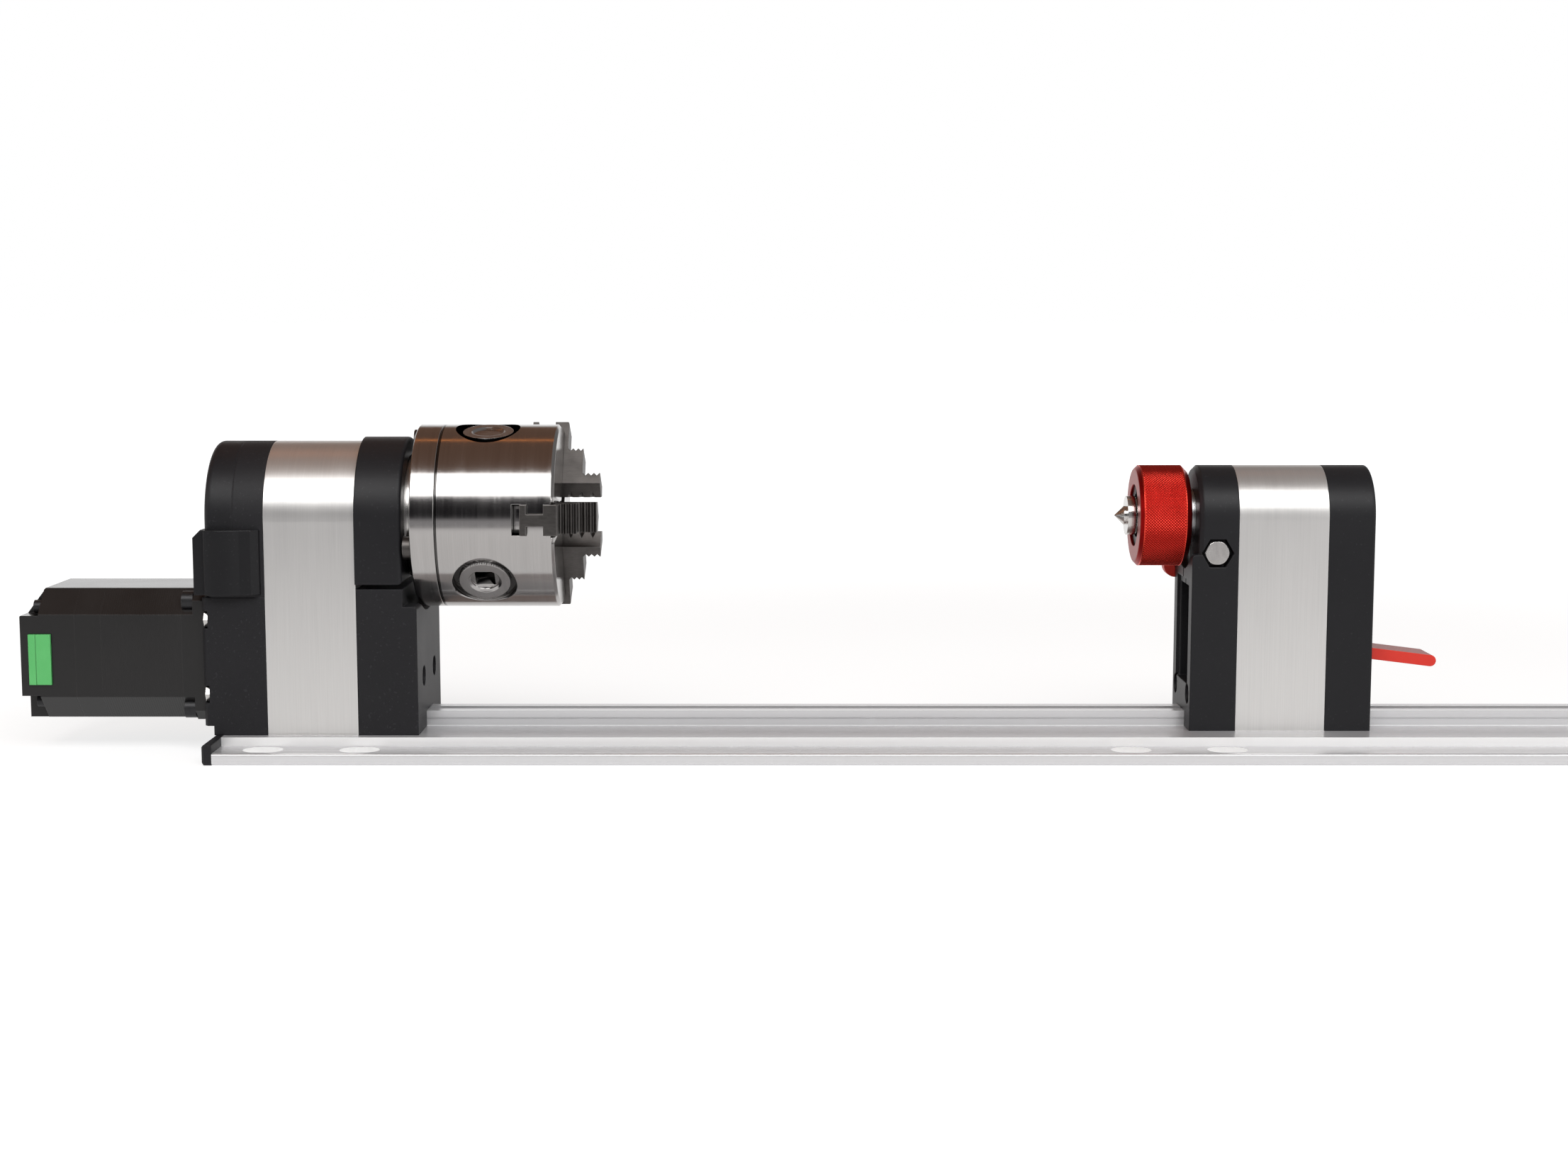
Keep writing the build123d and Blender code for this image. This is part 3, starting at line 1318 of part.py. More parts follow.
cone_end = centre_tip_x + centre_cone_length
disc_front = cone_end + centre_neck_length
disc_rear = disc_front + centre_disc_length
with BuildPart() as live_centre:
    with BuildSketch(spindle_plane):
        with BuildLine():
            Polyline(
                (centre_tip_x, 0),
                (cone_end, centre_cone_radius),
                (disc_front, centre_cone_radius),
                (disc_front, centre_disc_radius),
                (disc_rear, centre_disc_radius),
                (disc_rear, centre_stem_radius),
                (disc_rear + free_gap + centre_bearing_length, centre_stem_radius),
                (disc_rear + free_gap + centre_bearing_length, 0),
                close=True,
            )
        make_face()
    revolve(axis=spindle_axis)
save(live_centre, "live_centre")

with BuildPart() as centre_bearing:
    with BuildSketch(Plane.YZ.offset(quill_front)):
        with Locations((0, spindle_height)):
            Circle(centre_bearing_radius - seat_gap)
            Circle(centre_stem_radius + running_gap, mode=Mode.SUBTRACT)
    extrude(amount=centre_bearing_length - free_gap)
save(centre_bearing, "centre_bearing")

# Quill lock
lever_near_face = tailstock_radius + free_gap
lever_far_face = lever_near_face + lock_lever_thickness
with BuildPart() as lock_bolt:
    with BuildSketch(Plane.XZ.offset(tailstock_radius - lock_pocket_depth)):
        with Locations((lock_bolt_x, lock_bolt_height)):
            RegularPolygon(lock_head_across_flats / 2, 6, major_radius=False)
    extrude(amount=lock_head_thickness)
    with BuildSketch(Plane.XZ.offset(tailstock_radius - lock_pocket_depth + lock_head_thickness)):
        with Locations((lock_bolt_x, lock_bolt_height)):
            Circle(lock_head_across_flats / 2)
    extrude(amount=-lock_head_thickness, taper=-lock_head_bevel, mode=Mode.INTERSECT)
    with BuildSketch(Plane.XZ.offset(tailstock_radius - lock_pocket_depth)):
        with Locations((lock_bolt_x, lock_bolt_height)):
            Circle(lock_bolt_radius)
    extrude(amount=-(tailstock_radius - lock_pocket_depth + lever_far_face))
save(lock_bolt, "lock_bolt")

with BuildPart() as quill_lock_lever:
    with BuildSketch(Plane.XZ.offset(-lever_near_face)):
        with Locations(Location((lock_bolt_x, lock_bolt_height, 0), (0, 0, 180 + lock_lever_angle))):
            Circle(lock_lever_hub_radius)
            with Locations((lock_lever_arm, 0)):
                Circle(lock_lever_end_radius)
        make_hull()
        with Locations((lock_bolt_x, lock_bolt_height)):
            Circle(lock_bolt_radius + running_gap, mode=Mode.SUBTRACT)
    extrude(amount=-lock_lever_thickness)
    chamfer(quill_lock_lever.faces().sort_by(Axis.Y)[-1].outer_wire().edges(), lock_lever_edge)
save(quill_lock_lever, "quill_lock_lever")

# Rail clamp
saddle_top = clamp_pivot_height - clamp_cam_radius - clamp_cam_offset - free_gap
with BuildPart() as clamp_saddle:
    with BuildSketch(Plane.XY.offset(chamber_bottom)):
        with Locations((clamp_x, 0)):
            Rectangle(clamp_saddle_length, clamp_saddle_width)
            Circle(clamp_hole, mode=Mode.SUBTRACT)
    extrude(amount=saddle_top - chamber_bottom)
save(clamp_saddle, "clamp_saddle")

t_bolt_head_top = t_slot_top - t_bolt_rest_gap
with BuildPart() as t_bolt:
    with BuildSketch(Plane.XY.offset(t_bolt_head_top)):
        with Locations((clamp_x, 0)):
            Rectangle(t_bolt_head_width, t_bolt_head_width)
    extrude(amount=-t_bolt_head_height)
    with BuildSketch(Plane.XY.offset(t_bolt_head_top)):
        with Locations((clamp_x, 0)):
            Circle(t_bolt_radius)
    extrude(amount=clamp_pivot_height - t_bolt_head_top)
    with BuildSketch(Plane.XZ):
        with Locations((clamp_x, clamp_pivot_height)):
            Circle(clamp_pin_radius + t_bolt_eye_wall)
    extrude(amount=t_bolt_eye_width / 2, both=True)
    with BuildSketch(Plane.XZ):
        with Locations((clamp_x, clamp_pivot_height)):
            Circle(clamp_pin_radius + seat_gap)
    extrude(amount=t_bolt_eye_width, both=True, mode=Mode.SUBTRACT)
save(t_bolt, "t_bolt")

with BuildPart() as clamp_pin:
    with BuildSketch(Plane.XZ):
        with Locations((clamp_x, clamp_pivot_height)):
            Circle(clamp_pin_radius)
    extrude(amount=clamp_lever_width / 2, both=True)
save(clamp_pin, "clamp_pin")

with BuildPart() as clamp_lever:
    with BuildSketch(Plane.XZ):
        with Locations((clamp_x, clamp_pivot_height - clamp_cam_offset)):
            Circle(clamp_cam_radius)
        with Locations(Location((clamp_x, clamp_pivot_height, 0), (0, 0, -clamp_lever_slope))):
            with Locations((clamp_lever_reach / 2, 0)):
                SlotOverall(clamp_lever_reach + clamp_lever_thickness, clamp_lever_thickness)
        with Locations((clamp_x, clamp_pivot_height)):
            Circle(clamp_pin_radius + running_gap, mode=Mode.SUBTRACT)
    extrude(amount=clamp_lever_width / 2, both=True)
    with BuildSketch(Plane.XZ):
        with Locations((clamp_x, clamp_pivot_height)):
            Circle(clamp_cam_radius + 2 * clamp_cam_offset)
    extrude(amount=clamp_lever_slot / 2, both=True, mode=Mode.SUBTRACT)
save(clamp_lever, "clamp_lever")
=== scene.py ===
import bpy
import bmesh
import math
import numpy as np
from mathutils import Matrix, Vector
from mathutils.geometry import convex_hull_2d


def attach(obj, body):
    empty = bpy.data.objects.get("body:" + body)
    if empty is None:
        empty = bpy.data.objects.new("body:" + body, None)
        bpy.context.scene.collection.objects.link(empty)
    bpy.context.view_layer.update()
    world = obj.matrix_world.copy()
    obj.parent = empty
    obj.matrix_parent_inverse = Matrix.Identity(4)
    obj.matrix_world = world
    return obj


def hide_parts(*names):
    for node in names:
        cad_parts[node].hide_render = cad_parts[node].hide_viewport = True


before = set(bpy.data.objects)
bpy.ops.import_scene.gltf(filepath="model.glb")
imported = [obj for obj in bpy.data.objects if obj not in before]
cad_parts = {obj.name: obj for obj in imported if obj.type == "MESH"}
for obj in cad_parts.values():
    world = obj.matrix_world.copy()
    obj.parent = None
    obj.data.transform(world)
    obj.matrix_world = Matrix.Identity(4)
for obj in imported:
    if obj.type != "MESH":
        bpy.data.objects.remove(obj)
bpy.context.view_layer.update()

MM = 0.001
SPINDLE_HEIGHT = 101.3 * MM
MOTOR_HEIGHT = 42.7 * MM
# Places along the spindle: just inside the chuck's front face and just past the seam at its rear
CHUCK_FRONT, CHUCK_SEAM = 57.0 * MM, 11.7 * MM
# The three key pinions: their axes' place along the spindle and their angles up from the near side
PINION_PLACE, PINION_ANGLES = 30.6 * MM, (-43.0, 77.0, 197.0)
JAW_ANGLES = (2.0, 122.0, 242.0)
# Upper side of the rail's flanges, with room, and just inside their outer edges
FLANGE_TOP, FLANGE_EDGE = 9.0 * MM, 54.5 * MM


class Wire:
    """A shader socket that takes part in sums: every operator adds the Math node of the same meaning."""

    def __init__(self, board, socket):
        self.board = board
        self.socket = socket

    def __add__(self, other):
        return self.board.math("ADD", self, other)

    def __radd__(self, other):
        return self.board.math("ADD", other, self)

    def __sub__(self, other):
        return self.board.math("SUBTRACT", self, other)

    def __rsub__(self, other):
        return self.board.math("SUBTRACT", other, self)

    def __mul__(self, other):
        return self.board.math("MULTIPLY", self, other)

    def __rmul__(self, other):
        return self.board.math("MULTIPLY", other, self)

    def __pow__(self, other):
        return self.board.math("POWER", self, other)

    def __lt__(self, other):
        return self.board.math("LESS_THAN", self, other)


class Board:
    """A node tree in which nodes are made by type, with their settings first and their sockets after."""

    def __init__(self, tree):
        self.tree = tree

    def node(self, kind, settings=None, values=None):
        made = self.tree.nodes.new(kind)
        for name, value in (settings or {}).items():
            setattr(made, name, value)
        for name, value in (values or {}).items():
            if isinstance(value, Wire):
                self.tree.links.new(value.socket, made.inputs[name])
            else:
                made.inputs[name].default_value = value
        return made

    def wire(self, kind, settings=None, values=None, output=0):
        return Wire(self, self.node(kind, settings, values).outputs[output])

    def math(self, operation, first, second=0.0, clamp=False):
        settings = {"operation": operation, "use_clamp": clamp}
        return self.wire("ShaderNodeMath", settings, {0: first, 1: second})

    def clamped(self, value):
        return self.math("MULTIPLY", value, 1.0, clamp=True)

    def rise(self, value, low, high):
        """0 below low, 1 above high, and a smooth step between them."""
        ends = {"From Min": low, "From Max": high, "Value": value}
        return self.wire("ShaderNodeMapRange", {"interpolation_type": "SMOOTHSTEP"}, ends)

    def blend(self, factor, first, second):
        """Colour that goes from the first to the second as the factor goes from 0 to 1."""
        made = self.node("ShaderNodeMix", {"data_type": "RGBA"}, {0: factor})
        for socket, colour in ((made.inputs[6], first), (made.inputs[7], second)):
            if isinstance(colour, Wire):
                self.tree.links.new(colour.socket, socket)
            else:
                socket.default_value = (*colour, 1.0)
        return Wire(self, made.outputs[2])


class Finish(Board):
    """One material of the object, with the piece's own coordinates in metres as x, y, z and place."""

    def __init__(self, name, **plain):
        self.material = bpy.data.materials.new(name)
        self.material.use_nodes = True
        super().__init__(self.material.node_tree)
        self.shader = self.tree.nodes["Principled BSDF"]
        for socket, value in plain.items():
            self.shader.inputs[socket.replace("_", " ")].default_value = value
        self.place = self.wire("ShaderNodeTexCoord", output=3)
        self.x, self.y, self.z = self.split(self.place)
        facing = self.wire("ShaderNodeNewGeometry", output=1)
        self.facing_x, self.facing_y, self.facing_z = self.split(facing)
        self.facing = facing

    def split(self, vector):
        made = self.node("ShaderNodeSeparateXYZ", values={0: vector})
        return [Wire(self, made.outputs[number]) for number in range(3)]

    def noise(self, per_metre, detail=2.0, rough=0.5):
        """Noise whose number of features per metre is given along each axis."""
        spread = self.wire("ShaderNodeMapping", values={"Vector": self.place, "Scale": per_metre})
        settings = {"Vector": spread, "Scale": 1.0, "Detail": detail, "Roughness": rough}
        return self.wire("ShaderNodeTexNoise", values=settings)

    def distance(self, height):
        """Distance from a line along X at a height."""
        up = self.z - height
        return self.math("SQRT", self.y * self.y + up * up)

    def turned_noise(self, per_metre, height=SPINDLE_HEIGHT):
        """Noise in rings around a line along X: it changes with place and radius, little around the line."""
        radius = self.distance(height)
        across = {0: self.x * per_metre, 1: radius * per_metre, 2: (self.z - height) * 20.0}
        rings = self.wire("ShaderNodeCombineXYZ", values=across)
        settings = {"Vector": rings, "Scale": 1.0, "Detail": 3.0, "Roughness": 0.6}
        return self.wire("ShaderNodeTexNoise", values=settings)

    def rounded(self, radius):
        """Normal that rounds the sharp edges of the piece off over a radius."""
        return self.wire("ShaderNodeBevel", {"samples": 6}, {"Radius": radius})

    def edge(self, radius):
        """1 along the sharp edges of the piece and 0 on its faces."""
        normals = {0: self.rounded(radius), 1: self.facing}
        agreement = self.wire("ShaderNodeVectorMath", {"operation": "DOT_PRODUCT"}, normals, output=1)
        return self.rise(agreement, 0.995, 0.86)

    def relief(self, height, depth, radius=0.0004):
        """Bumps of a height from 0 to 1 times a depth in metres, on faces with rounded edges."""
        values = {"Strength": 1.0, "Distance": depth, "Height": height, "Normal": self.rounded(radius)}
        self.feed(Normal=self.wire("ShaderNodeBump", values=values))

    def feed(self, **wires):
        for socket, value in wires.items():
            self.tree.links.new(value.socket, self.shader.inputs[socket.replace("_", " ")])


def brushed_aluminium(name, per_metre, tone, rough, contrast):
    """Extruded aluminium with fine brushing, long along the axes whose count per metre is small."""
    made = Finish(name, Metallic=0.9)
    lines = made.noise(per_metre, detail=4.0, rough=0.65)
    cloud = made.noise((35.0, 35.0, 35.0))
    edge = made.edge(0.0006)
    dark = [value * (1 - contrast) for value in tone]
    made.feed(
        Base_Color=made.blend(made.clamped(lines * 1.6 - 0.3 + edge), dark, tone),
        Roughness=rough + (lines - 0.5) * contrast * 1.5 + (cloud - 0.5) * 0.06,
    )
    made.relief(lines, 0.0001 * contrast)
    return made


def drawn_rail():
    """Clear anodised extrusion with fine draw lines along its length, and painted light that makes the walls
    in its slots near white.
    """
    made = Finish("clear anodised rail", Metallic=0.55)
    lines = made.noise((0.3, 1500.0, 1500.0), detail=0.0)
    upright = made.rise(made.math("ABSOLUTE", made.facing_z), 0.5, 0.2)
    # painted light: upright faces low down inside the flanges, the slot walls, are painted near white
    painted_slot_wall_light = upright * (made.z < FLANGE_TOP) * (made.math("ABSOLUTE", made.y) < FLANGE_EDGE)
    drawn = made.blend(lines, (0.65, 0.65, 0.66), (0.72, 0.72, 0.73))
    made.feed(
        Base_Color=made.blend(painted_slot_wall_light, drawn, (0.97, 0.97, 0.97)),
        Roughness=0.26 + (lines - 0.5) * 0.04,
    )
    return made


def turned_steel(name, tone, rough, per_metre=2600.0, height=SPINDLE_HEIGHT, skin=None):
    """Steel turned or ground about a line along X, with fine rings.

    A chuck piece with a skin radius is painted dark, as painted shade, in the recesses below it and along the
    chuck's rear seam."""
    made = Finish(name, Metallic=1.0)
    rings = made.turned_noise(per_metre, height)
    broad = made.turned_noise(per_metre / 9, height)
    edge = made.edge(0.0004)
    stain = made.noise((60.0, 60.0, 60.0), detail=4.0)
    dark = [value * 0.78 for value in tone]
    colour = made.blend(made.clamped(rings * 0.9 + broad * 0.6 - 0.3 + edge), dark, tone)
    if skin:
        # painted shade: the surface below the skin radius and behind the rear seam is blended towards near
        # black
        below = made.rise(made.distance(height), skin, skin - 1.0 * MM) * (made.x < CHUCK_FRONT)
        painted_recess_shade = made.clamped(below + (made.x < CHUCK_SEAM))
        colour = made.blend(painted_recess_shade * 0.85, colour, (0.02, 0.019, 0.018))
    made.feed(
        Base_Color=colour,
        Roughness=rough + (broad - 0.5) * 0.14 + (rings - 0.5) * 0.08 + (stain - 0.5) * 0.06,
    )
    made.relief(rings, 0.000006)
    return made


def moulded_plastic(name, tone, rough, grain, depth):
    """Plastic with a fine grain, paler dust specks, and a painted highlight that makes its edges paler."""
    made = Finish(name, Specular_IOR_Level=0.24)
    fine = made.noise((grain, grain, grain), detail=3.0, rough=0.6)
    cloud = made.noise((28.0, 28.0, 28.0), detail=3.0)
    speck = made.rise(made.noise((900.0, 900.0, 900.0), detail=0.0), 0.74, 0.78)
    edge = made.edge(0.0005)
    pale = [value * 1.8 + 0.006 for value in tone]
    made.feed(
        # cloud and specks are the plastic's own tone and dust; the edge term is a painted highlight along its
        # edges
        Base_Color=made.blend(made.clamped(cloud * 0.25 + edge * 0.5 + speck * 0.5), tone, pale),
        Roughness=rough + (fine - 0.5) * 0.22 + (cloud - 0.5) * 0.12,
    )
    made.relief(fine, depth, 0.001)
    return made


def satin_paint(name, tone, rough, ridge_per_metre=0.0):
    """Black paint over metal; with ridges, the edges of stacked sheets show through it."""
    made = Finish(name, Specular_IOR_Level=0.35, Coat_Roughness=0.12)
    cloud = made.noise((45.0, 45.0, 45.0), detail=4.0)
    orange_peel = made.noise((1500.0, 1500.0, 1500.0))
    edge = made.edge(0.0005)
    pale = [value * 2.0 + 0.008 for value in tone]
    made.feed(
        Base_Color=made.blend(made.clamped(cloud * 0.35 + edge * 0.6), tone, pale),
        Roughness=rough + (cloud - 0.5) * 0.2,
        Coat_Weight=0.15 + made.rise(made.facing_z, 0.4, 0.9) * 0.6,
    )
    if ridge_per_metre:
        sheets = made.math("PINGPONG", made.x * ridge_per_metre, 1.0)
        made.relief(sheets * 0.8 + orange_peel * 0.3, 0.00006)
    else:
        made.relief(orange_peel, 0.00001)
    return made


def hardened_steel(name):
    """Dark hardened steel of the jaws: ground sides with fine scratches, lighter worn edges."""
    made = Finish(name, Metallic=1.0)
    scratches = made.noise((260.0, 1900.0, 1900.0), detail=4.0, rough=0.7)
    cloud = made.noise((120.0, 120.0, 120.0), detail=3.0)
    edge = made.edge(0.0004)
    worn = made.clamped(cloud * 0.5 + scratches * 0.3 + edge * 0.9 - 0.15)
    made.feed(
        Base_Color=made.blend(worn, (0.045, 0.042, 0.04), (0.25, 0.235, 0.225)),
        Roughness=0.42 + (scratches - 0.5) * 0.2,
    )
    made.relief(scratches, 0.00001)
    return made


def black_oxide(name):
    """Blackened steel of small screws, rubbed brighter on its edges."""
    made = Finish(name, Metallic=0.6)
    cloud = made.noise((400.0, 400.0, 400.0), detail=3.0)
    edge = made.edge(0.0003)
    rubbed = made.clamped(cloud * 0.3 + edge * 0.6)
    made.feed(
        Base_Color=made.blend(rubbed, (0.018, 0.018, 0.02), (0.09, 0.09, 0.09)),
        Roughness=0.4 + (cloud - 0.5) * 0.2,
    )
    made.relief(cloud, 0.00001, 0.0003)
    return made


def terminal_green():
    """Green glassy plastic of the terminal block, with a faint moulding texture."""
    made = Finish("green terminal plastic", Coat_Weight=0.3, Coat_Roughness=0.15)
    cloud = made.noise((160.0, 160.0, 160.0), detail=3.0)
    edge = made.edge(0.0004)
    paler = made.clamped(cloud * 0.5 + edge * 0.4)
    made.feed(
        Base_Color=made.blend(paler, (0.075, 0.42, 0.11), (0.14, 0.55, 0.18)),
        Roughness=0.38 + (cloud - 0.5) * 0.2,
    )
    made.relief(cloud, 0.00001)
    return made


def lever_red(name):
    """Red sheet of the levers: bright at its cut edges, with painted shade that makes its top face duller and
    browner.
    """
    made = Finish(name, Specular_IOR_Level=0.5)
    fine = made.noise((2200.0, 500.0, 2200.0), detail=3.0)
    cloud = made.noise((60.0, 60.0, 60.0), detail=3.0)
    edge = made.edge(0.0006)
    top_face_shade = made.rise(made.facing_z, 0.5, 0.9)
    side = made.blend(made.clamped(cloud * 0.5 + edge * 0.4), (0.62, 0.02, 0.01), (0.76, 0.045, 0.022))
    made.feed(
        # painted shade: faces that point up are blended towards a dull brown
        Base_Color=made.blend(top_face_shade * 0.75, side, (0.2, 0.085, 0.075)),
        Roughness=0.42 + (fine - 0.5) * 0.2,
    )
    made.relief(fine, 0.000015)
    return made


def red_anodised():
    """Red anodised knob: deep red in the knurl's grooves, with a painted glint that makes its points paler
    and painted shade that makes its turned front darker.
    """
    made = Finish("red anodised knob", Metallic=1.0)
    rings = made.turned_noise(3500.0)
    # painted glint: the outermost points of the knurl are painted a paler red
    point = made.rise(made.distance(SPINDLE_HEIGHT), 21.88 * MM, 22.12 * MM)
    # painted shade: the turned front face, which faces back along the spindle, is painted a darker red
    front = made.rise(made.facing_x, -0.8, -0.95) * (made.x < 314.2 * MM)
    red = made.blend(point, (0.34, 0.006, 0.006), (0.86, 0.07, 0.045))
    shaded_front_tone = made.blend(rings, (0.2, 0.02, 0.018), (0.4, 0.09, 0.08))
    made.feed(
        Base_Color=made.blend(front, red, shaded_front_tone),
        Roughness=0.36 - point * 0.1 + (rings - 0.5) * 0.12,
    )
    made.relief(rings, 0.000004, 0.0003)
    return made


def belt_rubber():
    """Black rubber with a faint cord pattern across the belt."""
    made = Finish("belt rubber", Specular_IOR_Level=0.3)
    cords = made.noise((2500.0, 200.0, 200.0), detail=2.0)
    made.feed(
        Base_Color=made.blend(cords, (0.012, 0.012, 0.012), (0.03, 0.03, 0.03)),
        Roughness=0.7 + (cords - 0.5) * 0.2,
    )
    made.relief(cords, 0.00002)
    return made


BODY_TONE = (0.78, 0.77, 0.755)
CHUCK_TONE, CHUCK_ROUGH = (0.5, 0.485, 0.475), 0.155
body_aluminium = brushed_aluminium("brushed aluminium body", (2600.0, 26.0, 26.0), BODY_TONE, 0.34, 0.1)
rail_aluminium = drawn_rail()
small_aluminium = turned_steel("turned aluminium", (0.74, 0.745, 0.76), 0.28)
ground_steel = turned_steel("ground chuck steel", CHUCK_TONE, CHUCK_ROUGH)
# painted shade: these two finishes darken the chuck's pockets, its rear seam and the key sockets
steel_with_pocket_shade = turned_steel("ground chuck steel with painted pocket shade", CHUCK_TONE, CHUCK_ROUGH, skin=39.3 * MM)
steel_with_socket_shade = turned_steel("ground key steel with painted socket shade", CHUCK_TONE, CHUCK_ROUGH, skin=37.0 * MM)
bright_steel = turned_steel("bright stainless steel", (0.72, 0.70, 0.68), 0.24, 3500.0)
motor_steel = turned_steel("bright motor shaft", (0.7, 0.69, 0.68), 0.25, 3500.0, MOTOR_HEIGHT)
centre_steel = turned_steel("polished centre", (0.74, 0.72, 0.70), 0.16, 4200.0)
bearing_steel = turned_steel("bearing steel", (0.66, 0.66, 0.68), 0.14, 3800.0)
cover_black = moulded_plastic("black cover plastic", (0.009, 0.009, 0.0105), 0.42, 3600.0, 0.00003)
housing_black = moulded_plastic("black housing plastic", (0.0098, 0.0096, 0.0112), 0.5, 3000.0, 0.00004)
guard_black = moulded_plastic("black guard plastic", (0.008, 0.008, 0.0092), 0.34, 4200.0, 0.00002)
motor_black = satin_paint("satin black motor", (0.0065, 0.006, 0.006), 0.34)
sheet_black = satin_paint("black motor sheets", (0.007, 0.0065, 0.0065), 0.34, 2000.0)
jaw_steel = hardened_steel("hardened jaw steel")
screw_black = black_oxide("black oxide screws")
lever_paint = lever_red("red lever")
knob_red = red_anodised()
terminal_plastic = terminal_green()
belt_black = belt_rubber()

finishes = {
    body_aluminium: ["headstock_body", "tailstock_body"],
    rail_aluminium: ["rail"],
    small_aluminium: ["spindle_pulley", "motor_pulley", "feed_bush"],
    ground_steel: ["chuck_body", "chuck_back_plate", "scroll_cover", "scroll_plate",
                   "key_pinion_1", "key_pinion_2", "key_pinion_3"],
    bright_steel: ["spindle", "bracket_nuts", "lock_bolt", "clamp_pin", "quill", "quill_key"],
    motor_steel: ["motor_rotor"],
    centre_steel: ["live_centre"],
    bearing_steel: ["headstock_bearings", "bearing_spacer", "motor_bearings", "centre_bearing"],
    cover_black: ["headstock_front_cover", "belt_cover", "tailstock_front_cover", "tailstock_rear_cover",
                  "clamp_saddle"],
    housing_black: ["headstock_front_block", "belt_housing", "motor_bracket", "rail_end_caps"],
    guard_black: ["side_guard"],
    motor_black: ["motor_flange", "motor_rear_cap", "driver_housing"],
    sheet_black: ["motor_laminations"],
    jaw_steel: ["jaw_1", "jaw_2", "jaw_3", "chuck_bolts"],
    screw_black: ["headstock_rail_screws", "headstock_tie_screws", "tailstock_tie_screws", "motor_screws",
                  "driver_screws", "spindle_lock_nut", "knob_snap_ring", "t_bolt"],
    lever_paint: ["clamp_lever", "quill_lock_lever"],
    knob_red: ["quill_knob"],
    terminal_plastic: ["terminal_block"],
    belt_black: ["drive_belt"],
}
for finish, nodes in finishes.items():
    for node in nodes:
        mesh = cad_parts[node].data
        mesh.materials.clear()
        mesh.materials.append(finish.material)


def closed_surface(name, points, finish, body):
    """Mesh of a grid of points that closes on itself in both directions, with its faces outwards."""
    rows, columns = points.shape[:2]
    row, column = np.meshgrid(np.arange(rows), np.arange(columns), indexing="ij")
    after, beside = (row + 1) % rows, (column + 1) % columns
    here, there = row * columns, after * columns
    corners = [here + column, here + beside, there + beside, there + column]
    faces = np.stack(corners, axis=-1)
    mesh = bpy.data.meshes.new(name)
    mesh.from_pydata(points.reshape(-1, 3), [], faces.reshape(-1, 4))
    mesh.materials.append(finish.material)
    mesh.update()
    piece = bpy.data.objects.new(name, mesh)
    bpy.context.scene.collection.objects.link(piece)
    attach(piece, body)
    return piece


def knurled_knob():
    """Knob turned from a profile of (place along the spindle, radius), with a diamond knurl on its rim.

    The knurl is two families of grooves that wind opposite ways: at an angle a and a place x the phases are
    a * count / turn + x / pitch and a * count / turn - x / pitch. A groove's height goes from 0 in its bottom
    to 1 half way to the next, and the lower of the two families counts, which leaves small pyramids."""
    count, pitch, depth = 112, 1.25 * MM, 0.36 * MM
    front, rear, rim = 313.8 * MM, 336.5 * MM, 22.2 * MM
    start, stop = front + 1.8 * MM, rear - 2.6 * MM
    along = np.linspace(start, stop, 90)
    edge = 0.25 * MM
    before = np.array([
        (front + 6.4 * MM, 8.05 * MM), (front + 4.0 * MM, 8.05 * MM), (front + 4.0 * MM, 13.3 * MM),
        (front + 3.7 * MM, 13.6 * MM), (front + edge, 13.6 * MM), (front, 13.6 * MM + edge),
        (front, 20.4 * MM - edge), (front + edge * 0.7, 20.4 * MM + edge * 0.7),
    ])
    after = np.array([
        (rear - edge * 0.7, 19.6 * MM + edge * 0.4), (rear, 19.6 * MM - edge), (rear, 12.3 * MM + edge),
        (rear - edge, 12.3 * MM), (front + 6.4 * MM, 12.3 * MM),
    ])
    profile = np.vstack([before, np.column_stack([along, np.full(len(along), rim)]), after])
    knurled = np.zeros(len(profile))
    from_end = np.minimum(along - start, stop - along)
    knurled[len(before):len(before) + len(along)] = np.clip(from_end / (0.5 * MM), 0, 1)
    turn = np.linspace(0, 2 * math.pi, count * 6, endpoint=False)
    x = profile[:, 0][:, None]
    share = turn[None, :] * count / (2 * math.pi)
    heights = [1 - np.abs(2 * np.mod(share + way * x / pitch, 1) - 1) for way in (-1, 1)]
    relief = np.minimum(*heights) - 1
    radius = profile[:, 1][:, None] + knurled[:, None] * depth * relief
    across, up = radius * np.cos(turn), SPINDLE_HEIGHT + radius * np.sin(turn)
    points = np.stack([x + 0 * radius, across, up], axis=-1)
    return closed_surface("knurled_knob", points, knob_red, "knob")


def prism(name, outline, origin, first, second, depth):
    """Mesh of a flat outline, whose points lie at origin + u * first + v * second, given a depth."""
    made = bmesh.new()
    flat = [Vector(origin) + Vector(first) * u * MM + Vector(second) * v * MM for u, v in outline]
    low = [made.verts.new(point) for point in flat]
    high = [made.verts.new(point + Vector(depth) * MM) for point in flat]
    made.faces.new(low)
    made.faces.new(high)
    for here in range(len(outline)):
        after = (here + 1) % len(outline)
        made.faces.new([low[here], low[after], high[after], high[here]])
    bmesh.ops.recalc_face_normals(made, faces=made.faces)
    mesh = bpy.data.meshes.new(name)
    made.to_mesh(mesh)
    made.free()
    return mesh


def disc(radius, origin, axis, depth, sides=96, far_radius=None):
    """Mesh of a round plug or cone that stands on a point and goes a depth along an axis."""
    made = bmesh.new()
    far = radius if far_radius is None else far_radius
    ends = {"radius1": radius * MM, "radius2": far * MM, "depth": depth * MM}
    bmesh.ops.create_cone(made, cap_ends=True, segments=sides, **ends)
    turned = Vector(axis).to_track_quat("Z", "Y").to_matrix().to_4x4()
    turned.translation = Vector(origin) + Vector(axis) * depth * MM / 2
    bmesh.ops.transform(made, matrix=turned, verts=made.verts)
    mesh = bpy.data.meshes.new("plug")
    made.to_mesh(mesh)
    made.free()
    return mesh


